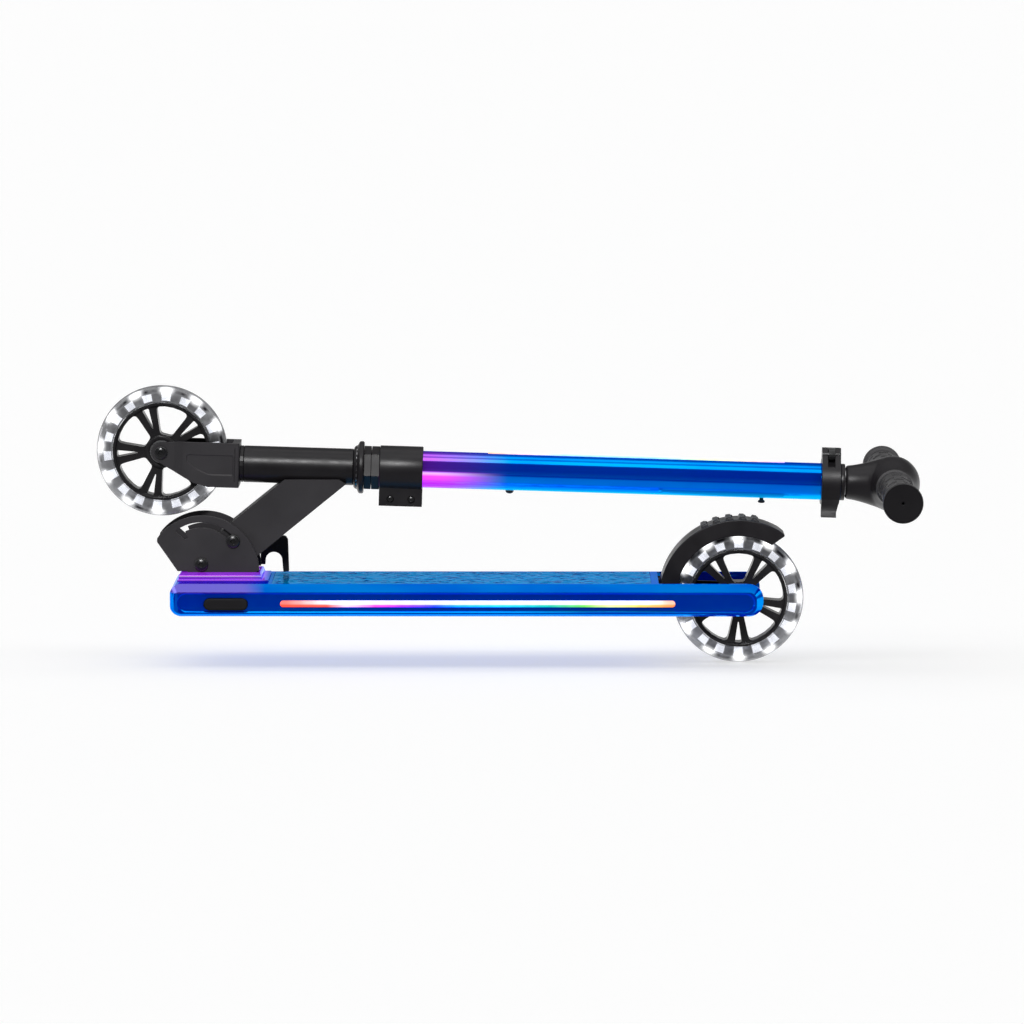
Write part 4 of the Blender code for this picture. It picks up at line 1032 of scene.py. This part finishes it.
def add_neck():
    """The arm from the pivot to the head tube, the head tube with its badge pocket, and the headset cup."""
    pivot = (PIVOT.x, PIVOT.z)
    half = span("neck_arm")[1].y
    outline = [(-154.7, 172.8), (-161.2, 177.2), (-213.2, 177.2), (-260.8, 138.7)]
    outline += arc(pivot, 11.5, 135.0, 290.0, 24)
    outline += [(-262.0, 88.0), (-239.9, 103.7)]
    arm = prism(outline, -half, half)
    saddle = turn(rod(TUBE_R + 0.1, -10.0, 140.0, 96), COLUMN @ ALONG_X)
    add_piece("neck_arm_body", cut(arm, saddle), PLATE_PAINT, ["neck_arm"], bevel=0.9)
    low, high = HEAD_LOW.x, HEAD_HIGH.x
    wall, edge = TUBE_R - 2.4, TUBE_R - 0.6
    profile = [(wall, low), (edge, low), (TUBE_R, low + 0.6)]
    profile += [(TUBE_R, high - 0.6), (edge, high), (wall, high)]
    badge = box((47.0, -3.5, TUBE_R - 0.8), (71.0, 3.5, 30.0))
    tube = cut(lathe(profile, ALONG_X), badge)
    add_piece("head_tube_body", tube, PAINT, ["head_tube"], COLUMN, bevel=0.25, segments=2)
    cup_low, cup_high = span("upper_cup", INTO_COLUMN)
    size = cup_high.y
    start, end = cup_low.x, cup_high.x
    cup = [(16.0, start), (18.8, start), (20.4, start + 1.4), (21.0, start + 3.2), (size - 0.6, start + 5.0)]
    cup += [(size, start + 6.0), (size, end - 1.0), (size - 1.0, end), (16.0, end)]
    add_piece("headset_cup", lathe(rounded(cup, 0.6, 4), ALONG_X), PAINT, ["upper_cup"], COLUMN)
    dress("upper_bearing", STEEL, 0.3)
    # The steel lower bearing takes the black paint, so the thin gap between fork and head tube reads dark:
    # painted shade.
    dress("lower_bearing", PAINT, 0.3)


def add_lock():
    """The lock bolt with its nut, and the hooked lever that pulls it."""
    place = Matrix.Translation(LOCK) @ ALONG_Y
    outer = BRACKET_HIGH.y
    add_bolt("lock_bolt", place @ at(0.0, 0.0, -outer - GAP), 6.6, 3.6, 2.3, 2 * outer + 14.5)
    add_nut("lock_bolt_nut", place, 2.5, 6.4, outer + GAP, outer + 6.0, BOLT)
    low, high = span("fold_lever")
    outline = [(-211.2, low.z), (-212.2, 114.0), (-214.0, 117.0), (-228.0, 120.8)]
    outline += [(LOCK.x - 2.5, LOCK.z + 6.5), (LOCK.x - 2.5, LOCK.z - 6.5)]
    outline += [(-246.0, LOCK.z - 6.5), (-238.6, 100.0)]
    hook = [(-238.6, 90.0), (-234.0, 90.0)] + arc((-225.8, 94.0), 8.0, 172.0, 0.0, 24) + [(-216.8, low.z)]
    radii = [1.2, 2.5, 2.0, 4.0, 2.0, 2.0, 3.0, 1.0]
    soft = rounded(outline + hook[:1], [*radii, 0.0], 5)[:-1]
    lever = prism(soft + hook, low.y, high.y)
    fork_gap = box((LOCK.x - 12.0, 20.0, LOCK.z - 3.6), (LOCK.x + 9.0, 40.0, LOCK.z + 3.6))
    add_piece("fold_lever_hook", cut(lever, fork_gap), PAINT, ["fold_lever"], bevel=1.0)
    dress("fold_lever_pin", STEEL, 0.3)


# Steering


def fork_shape():
    """Two jogged plates with a pressed panel, a crown, and the steerer tube standing on it."""
    axle = INTO_COLUMN @ FRONT_AXLE
    ax, az = axle.x, axle.z
    tip = ax - 12.0
    plan = [(tip, 14.8), (-61.0, 14.8), (-52.0, 17.0), (-7.0, 17.0), (-7.0, -17.0), (-52.0, -17.0)]
    plan += [(-61.0, -14.8), (tip, -14.8), (tip, -18.8), (-62.0, -18.8), (-53.0, -21.0)]
    plan += [(0.0, -21.0), (0.0, 21.0), (-53.0, 21.0), (-62.0, 18.8), (tip, 18.8)]
    radii = [0.0, 6.0, 6.0, 0.0, 0.0, 6.0, 6.0, 0.0, 0.0, 6.0, 6.0, 1.5, 1.5, 6.0, 6.0, 0.0]
    plates = turn(prism(rounded(plan, radii, 5), -40.0, 40.0), FROM_PLAN)
    side = arc((ax, az), 9.4, 85.0, 245.0, 24)
    side += [(-43.3, -17.6), (-29.4, -21.2), (0.0, -21.2), (0.0, 21.2), (-57.0, 21.2)]
    plates = common(plates, prism(side, -30.0, 30.0))
    mouth = [(-50.5, 9.6), (-5.5, 9.6), (-5.5, -9.8), (-29.0, -9.8), (-41.0, -4.5), (-50.5, 3.0)]
    mouth = rounded(mouth, [3.0, 1.5, 1.5, 8.0, 14.0, 3.5], 6)
    bed = [(-50.0, 9.1), (-6.2, 9.1), (-6.2, -8.9), (-28.8, -8.9), (-40.7, -4.0), (-50.0, 3.2)]
    bed = rounded(bed, [2.8, 1.2, 1.2, 8.0, 14.0, 3.3], 6)
    seam = [(-4.6, -16.0), (-3.9, -16.0), (-3.9, 16.0), (-4.6, 16.0)]
    grooves = [loft([(sign * 20.4, bed), (sign * 21.1, mouth)]) for sign in SIDES]
    grooves += [side_prism(seam, sign, 20.5, 25.0) for sign in SIDES]
    steerer = turn(rod(14.2, -5.0, CLAMP_HIGH.x + 4.0, 64), ALONG_X)
    return joined(cut(plates, *grooves), steerer)


def add_axle(name, centre, plate_face, length):
    place = Matrix.Translation(centre) @ ALONG_Y
    add_bolt(f"{name}_axle_bolt", place @ at(0.0, 0.0, -plate_face - GAP), 6.3, 3.6, 3.9, length)
    add_nut(f"{name}_axle_nut", place, 4.0, 7.3, plate_face + GAP, plate_face + 6.6, BOLT)


def add_fork():
    add_piece("fork_plates", fork_shape(), PLATE_PAINT, ["fork"], COLUMN, bevel=0.7)
    add_axle("front", FRONT_AXLE, 18.9, 45.2)
    add_axle("rear", REAR_AXLE, 22.2, 51.8)


def band_shape(radius, low, high):
    """A band round the tube with softened edges."""
    section = rounded([(TUBE_R + 0.1, low), (radius, low), (radius, high), (TUBE_R + 0.1, high)], 0.7, 4)
    return lathe(section, ALONG_X)


def add_stem():
    """The candy stem with its light groove, the headset nuts, the lower clamp and the small screws."""
    nut_turn = Matrix.Rotation(math.radians(NUT_TURN), 4, "X")
    for name in ("adjusting_nut", "headset_lock_nut"):
        low, high = span(name, INTO_COLUMN)
        add_nut(name, COLUMN @ nut_turn @ ALONG_X, 14.3, 20.8, low.x, high.x, PAINT, 0.3)
    low, high = CLAMP_LOW.x, CLAMP_HIGH.x
    size = CLAMP_HIGH.y
    collar = band_shape(size, low, high)
    ear = box((low, -12.0, CLAMP_LOW.z), (high, 12.0, -17.6))
    cuts = [box((low - 1.0, -1.0, -40.0), (high + 1.0, 1.0, -10.0))]
    for name in ("clamp_bolt_front", "clamp_bolt_rear"):
        bolt = middle(name, INTO_COLUMN)
        across = at(bolt.x, 0.0, bolt.z) @ ALONG_Y
        cuts.append(turn(rod(3.6, -30.0, -9.4, 48), across))
        add_bolt(name, COLUMN @ across @ at(0.0, 0.0, -9.4), 3.3, 1.6, 2.5, 20.8)
    add_piece("stem_clamp", cut(joined(collar, ear), *cuts), PAINT, ["lower_clamp"], COLUMN, bevel=0.8)
    wall = TUBE_R - 2.8
    profile = [(wall, STEM_LOW.x), (TUBE_R, STEM_LOW.x), (TUBE_R, STEM_HIGH.x), (wall, STEM_HIGH.x)]
    tube = lathe(profile, ALONG_X, 128)
    groove = box((STEM_STRIP_LOW.x - 0.4, -3.3, TUBE_R - 1.3), (STEM_STRIP_HIGH.x + 0.4, 3.3, 30.0))
    stem = add_piece("stem_candy_tube", cut(tube, groove), STEM_CANDY_AND_REFLECTION, ["stem_tube"], COLUMN, sharp=25.0)
    lens = box(STEM_STRIP_LOW, STEM_STRIP_HIGH)
    strip = add_piece("stem_light_lens", lens, STEM_LIGHT, ["stem_light_strip"], COLUMN, bevel=0.6)
    end = STEM_HIGH.x
    bush = [(12.9, end - 4.0), (14.5, end - 4.0), (14.5, end + 0.4), (TUBE_R, end + 0.4)]
    bush = rounded([*bush, (TUBE_R, end + 4.4), (12.9, end + 4.4)], 0.5, 3)
    add_piece("stem_bush", lathe(bush, ALONG_X), PLASTIC, ["height_bush"], COLUMN)
    dome = [(0.0, -20.8), (1.6, -20.7), (2.8, -20.2), (3.6, -19.4), (4.0, -18.5), (4.0, -17.7), (0.0, -17.7)]
    screw = lathe(dome, at(SCREW_U, 0.0, 0.0), 48)
    add_piece("stem_dome_screw", screw, BOLT, ["stem_screw"], COLUMN)
    cap = [(0.0, -22.3), (2.0, -22.3), (2.9, -22.0), (3.4, -21.4), (3.4, -20.6), (2.9, -20.0), (1.9, -19.2)]
    button = lathe([*cap, (1.9, -12.0), (0.0, -12.0)], at(BUTTON_U, 0.0, 0.0), 48)
    add_piece("height_button_cap", button, PLASTIC, ["height_button"], COLUMN)


def add_quick_release():
    """A split collar, its eye bolt and pin, and the cam lever that hugs it."""
    low, high = COLLAR_LOW.x, COLLAR_HIGH.x
    centre = (low + high) / 2
    band = band_shape(COLLAR_R, low, high)
    ears = box((low + 0.4, -5.2, 19.5), (high - 0.4, 8.5, COLLAR_HIGH.z))
    split = box((low - 1.0, 0.6, 10.0), (high + 1.0, 2.6, 40.0))
    add_piece("qr_split_collar", cut(joined(band, ears), split), PAINT, ["qr_collar"], COLUMN, bevel=0.7)
    pin = middle("qr_pin", INTO_COLUMN)
    outline = arc((pin.y, pin.z), 7.0, 62.0, -60.0, 20)
    outline += arc((0.0, 0.0), 22.3, 121.0, 222.0, 40)
    outline += [(-17.2, -24.0), (-20.5, COLLAR_TIP), (-27.0, COLLAR_TIP)]
    outline += [(-23.6, COLLAR_TIP + 6.4), (-23.8, -20.0)]
    outline += arc((0.0, 0.0), 27.4, 212.0, 133.0, 32)
    lever = mirrored(turn(prism(outline, low, high), FROM_SECTION))
    slot = box((centre - 3.4, -22.0, 14.0), (centre + 3.4, 0.0, 40.0))
    taper = [(high + 1.0, -9.0), (high - 3.4, -27.0), (high - 3.4, -45.0), (high + 1.0, -45.0)]
    taper = prism(taper, -40.0, 40.0)
    add_piece("qr_cam_lever", cut(lever, slot, taper), PLASTIC, ["qr_lever"], COLUMN, bevel=0.8)
    dress("qr_bolt", BOLT, 0.3)
    dress("qr_nut", BOLT, 0.4)
    dress("qr_pin", BOLT, 0.3)


# Handlebar


def t_body_shape():
    """A bulbous tee: a barrel across the bar blended into a flared neck."""
    barrel = [(0.0, -36.0), (16.6, -36.0), (17.6, -35.2)]
    for step in range(25):
        share = step / 24
        barrel.append((17.6 + 9.0 * math.sin(math.pi * share) ** 1.35, -34.0 + 68.0 * share))
    barrel += [(17.6, 35.2), (16.6, 36.0), (0.0, 36.0)]
    across = lathe(barrel, at(BAR_U, 0.0, 0.0) @ ALONG_Y)
    neck = [(0.0, T_START), (15.4, T_START), (16.2, T_START + 0.8)]
    for step in range(13):
        share = step / 12
        neck.append((16.2 + 9.6 * share**1.35, T_START + 3.0 + 36.0 * share))
    neck.append((0.0, T_START + 39.0))
    holder = holder_of(joined(across, lathe(neck, ALONG_X)))
    mesh_step = holder.modifiers.new("even_mesh", "REMESH")
    mesh_step.mode = "VOXEL"
    mesh_step.voxel_size = 0.9
    soft = holder.modifiers.new("soft_joins", "SMOOTH")
    soft.factor = 0.5
    soft.iterations = 30
    return taken_from(holder)


def grip_shape(sign):
    """A rubber grip with a flange, rows of short ribs and a rolled end."""
    start = 36.4
    bore = 11.3
    profile = [(bore, start), (17.2, start), (17.6, start + 0.5), (17.6, start + 2.6), (17.0, start + 3.4)]
    profile += [(15.9, start + 4.4), (15.5, 70.0), (15.4, 100.0), (15.5, 130.0), (15.9, 154.5), (17.4, 156.0)]
    profile += [(18.5, 157.4), (18.9, 159.5), (18.9, GRIP_END - 1.6), (18.6, GRIP_END - 0.6)]
    profile += [(18.1, GRIP_END - 0.1), (18.0, GRIP_END - 4.0), (bore, GRIP_END - 4.0)]
    body = lathe([(radius, sign * along) for radius, along in profile], ALONG_Y)
    rows = [44.0 + 18.0 * pair + offset for pair in range(6) for offset in (0.0, 3.5)] + [148.0]
    for row, along in enumerate(rows):
        for place in range(6):
            facing = 60.0 * place + 30.0 * (row // 2 % 2) + 62.0
            outline = arc((0.0, 0.0), 16.05, facing - 17.0, facing + 17.0, 8)
            outline += arc((0.0, 0.0), 15.0, facing + 17.0, facing - 17.0, 8)
            rib = prism(outline, along - 0.65, along + 0.65)
            beside(body, mirrored(rib) if sign < 0 else rib)
    return body


def end_cap_shape(sign):
    """The dark disc in the grip's end, with a small vent hole in the middle."""
    profile = [(1.2, GRIP_END - 5.0), (17.9, GRIP_END - 5.0), (17.9, GRIP_END - 0.5), (17.5, GRIP_END)]
    profile += [(2.0, GRIP_END - 0.35), (1.2, GRIP_END - 0.9)]
    return lathe([(radius, sign * along) for radius, along in profile], ALONG_Y, 72)


def add_handlebar():
    place = COLUMN @ at(BAR_U, 0.0, 0.0)
    add_piece("handlebar_tee", t_body_shape(), PLASTIC, ["t_body"], COLUMN, sharp=60.0)
    for side, sign in (("left", -1.0), ("right", 1.0)):
        grip = add_piece(f"ribbed_grip_{side}", grip_shape(sign), RUBBER, [f"grip_{side}"], place)
        add_piece(f"grip_end_{side}", end_cap_shape(sign), CAP_RUBBER, [f"grip_{side}"], place)
    dress("bar_tube", PAINT, 0.4)
    low, high = span("upper_tube", INTO_COLUMN)
    size = high.y
    profile = [(size - 1.6, low.x), (size, low.x), (size, high.x), (size - 1.6, high.x)]
    slot = box((BUTTON_U - 123.0, -2.4, -20.0), (BUTTON_U + 3.0, 2.4, 0.0))
    tube = cut(lathe(profile, ALONG_X), slot)
    add_piece("telescopic_tube", tube, STEEL, ["upper_tube"], COLUMN, sharp=25.0)


# Fender


def fender_shape():
    """A channel over the rear wheel, with a pointed tail and a foot at the pin."""
    centre = (REAR_AXLE.x, REAR_AXLE.z)
    outer, inner = 76.4, 74.0
    half = span("fender")[1].y
    outline = arc(centre, outer, 165.0, 60.0, 64)
    tail = [(44.6, 61.2), (39.4, 57.6), (31.5, 52.0)]
    tail = [(centre[0] + x, centre[1] + z) for x, z in tail]
    outline += rounded([outline[-1], *tail], [0.0, 1.6, 6.0, 0.0], 5)[1:-1]
    outline += arc(centre, 60.6, 58.8, 158.0, 48)
    outline += [(centre[0] - 56.0, 62.0), (FENDER_PIVOT.x + 5.5, 61.5), (FENDER_PIVOT.x - 3.0, 61.0)]
    outline += [(FENDER_PIVOT.x - 6.0, 64.0), (FENDER_PIVOT.x - 6.0, 72.0)]
    solid = prism(outline, -half, half)
    hollow = arc(centre, inner, 168.0, 66.0, 60)
    hollow += [(centre[0] + 33.0, centre[1] + 60.0), (centre[0] + 60.0, centre[1] + 38.0)]
    hollow += [(centre[0] + 20.0, 40.0), (SLOT_FRONT - 5.0, 40.0), (SLOT_FRONT - 5.0, 76.0)]
    channel = prism(hollow, -half + 2.4, half - 2.4)
    return cut(solid, channel)


def tread_shape():
    """Five rubber bars along the crest of the fender, each with a small lug at both ends."""
    treads = bmesh.new()
    bar = rounded([(-3.4, 75.6), (3.4, 75.6), (2.6, 79.2), (-2.0, 79.2)], [0.0, 0.0, 1.0, 1.0], 4)
    lug = rounded([(-1.2, 75.6), (4.8, 75.6), (4.2, 78.0), (-0.6, 78.0)], [0.0, 0.0, 0.8, 0.8], 4)
    for angle in (116.0, 107.0, 97.5, 88.0, 79.0):
        place = Matrix.Translation(REAR_AXLE) @ wheel_turn(angle - 90.0)
        for outline, low, high in ((bar, -12.0, 12.0), (lug, 10.0, 14.5), (lug, -14.5, -10.0)):
            beside(treads, turn(prism(outline, low, high), place))
    return treads


def add_fender():
    add_piece("fender_shell", fender_shape(), PLASTIC, ["fender"], bevel=1.1, segments=4)
    add_piece("fender_treads", tread_shape(), RUBBER, ["fender"], bevel=0.4)
    dress("fender_pin", STEEL, 0.3)
    dress("fender_spring", STEEL)


# Stage, light and camera


def add_floor():
    """A wide pale floor, darker towards the front in mirrors, as a black flag would make it."""
    plane = turned([(0.0, 0.0), (60000.0, 0.0)], 96)
    plane.transform(Matrix.Scale(MM, 4))
    floor = holder_of(plane, "floor")
    for face in floor.data.polygons:
        if face.normal.z < 0:
            face.flip()
    made, tree, shader = new_look("pale_floor")
    feed(tree, shader, {"Base Color": (0.5, 0.5, 0.5, 1.0), "Roughness": 0.9})
    shader.inputs["Specular IOR Level"].default_value = 0.0
    feed(tree, shader, {"Emission Color": (1.0, 1.0, 1.0, 1.0), "Emission Strength": 0.58})
    away = node(tree, "ShaderNodeSeparateXYZ", {0: local(tree)}).outputs[1]
    bands = [(-1.3, 0.1), (-1.15, 0.35), (-1.0, 0.35), (-0.92, 0.06), (-0.5, 0.06), (-0.35, 0.3)]
    bands += [(-0.12, 0.38), (-0.055, 0.45), (-0.03, 0.7), (0.02, 1.3), (0.2, 1.3)]
    near, far = bands[0][0], bands[-1][0]
    stops = [((place - near) / (far - near), (level, level, level)) for place, level in bands]
    share = node(tree, "ShaderNodeMapRange", {0: away, 1: near, 2: far}).outputs[0]
    flagged = node(tree, "ShaderNodeEmission", {0: ramp(tree, share, stops)})
    mirror_ray = node(tree, "ShaderNodeLightPath").outputs["Is Glossy Ray"]
    shown = node(tree, "ShaderNodeMixShader", {0: mirror_ray, 1: shader.outputs[0], 2: flagged.outputs[0]})
    tree.links.new(shown.outputs[0], tree.nodes["Material Output"].inputs["Surface"])
    floor.data.materials.append(made)


def add_sky():
    """Soft bands overhead, by degrees up from the front, and a plain near-white surround for the camera."""
    world = bpy.data.worlds.new("studio")
    bpy.context.scene.world = world
    world.use_nodes = True
    tree = world.node_tree
    way = node(tree, "ShaderNodeTexCoord").outputs["Generated"]
    _, back, up = node(tree, "ShaderNodeSeparateXYZ", {0: way}).outputs
    climb = maths(tree, "ARCTAN2", up, maths(tree, "MULTIPLY", back, -1.0))
    share = node(tree, "ShaderNodeMapRange", {0: climb, 1: 0.0, 2: math.pi}).outputs[0]
    bands = [(0, 0.15), (10, 0.06), (52, 0.06), (59, 0.15), (64, 2.0), (83, 2.1), (85, 0.75), (97, 0.75)]
    bands += [(99, 1.7), (112, 1.5), (118, 0.5), (130, 0.3), (150, 0.1), (161, 0.12), (168, 0.6), (180, 0.75)]
    stops = [(angle / 180, (level, level, level)) for angle, level in bands]
    studio = node(tree, "ShaderNodeBackground", {0: ramp(tree, share, stops)})
    plain = node(tree, "ShaderNodeBackground", {0: (0.96, 0.96, 0.965, 1.0)})
    seen = node(tree, "ShaderNodeLightPath").outputs["Is Camera Ray"]
    shown = node(tree, "ShaderNodeMixShader", {0: seen, 1: studio.outputs[0], 2: plain.outputs[0]})
    tree.links.new(shown.outputs[0], tree.nodes["World Output"].inputs["Surface"])


def add_key():
    """A soft key from the front and above. The candy mirrors, the lights and the floor are left out of it."""
    light = bpy.data.lights.new("key", "SUN")
    light.energy = 3.0
    light.angle = math.radians(9.0)
    lamp = bpy.data.objects.new("key", light)
    bpy.context.scene.collection.objects.link(lamp)
    height, swing = 32.0, -6.0
    lamp.rotation_euler = (math.radians(90.0 - height), 0.0, math.radians(swing))
    dark_pieces = bpy.data.collections.new("lit_by_key")
    for obj in bpy.data.objects:
        if obj.type == "MESH" and obj.data.materials and obj.data.materials[0] in BLACKS:
            dark_pieces.objects.link(obj)
    lamp.light_linking.receiver_collection = dark_pieces


def add_camera():
    """A long lens from the rider's left, a little above the scooter."""
    azimuth, elevation, distance = math.radians(0.21), math.radians(6.77), 5.433
    target = Vector((0.0034, 0.0, 0.1443))
    level = math.cos(elevation)
    back = Vector((math.sin(azimuth) * level, -math.cos(azimuth) * level, math.sin(elevation)))
    lens = bpy.data.cameras.new("camera")
    lens.lens = 199.8
    lens.sensor_width = 36.0
    lens.clip_end = 200.0
    camera = bpy.data.objects.new("camera", lens)
    bpy.context.scene.collection.objects.link(camera)
    camera.location = target + back * distance
    camera.rotation_mode = "QUATERNION"
    camera.rotation_quaternion = (-back).to_track_quat("-Z", "Y")
    bpy.context.scene.camera = camera


add_wheel("front", FRONT_AXLE, -33.0, 5.0, 25.5)
add_wheel("rear", REAR_AXLE, -90.0, 10.0, 1.0)
add_deck()
add_dropouts()
add_bracket()
add_neck()
add_lock()
add_fork()
add_stem()
add_quick_release()
add_handlebar()
add_fender()
add_floor()
add_sky()
add_key()
add_camera()
bpy.context.scene.view_settings.view_transform = "Standard"
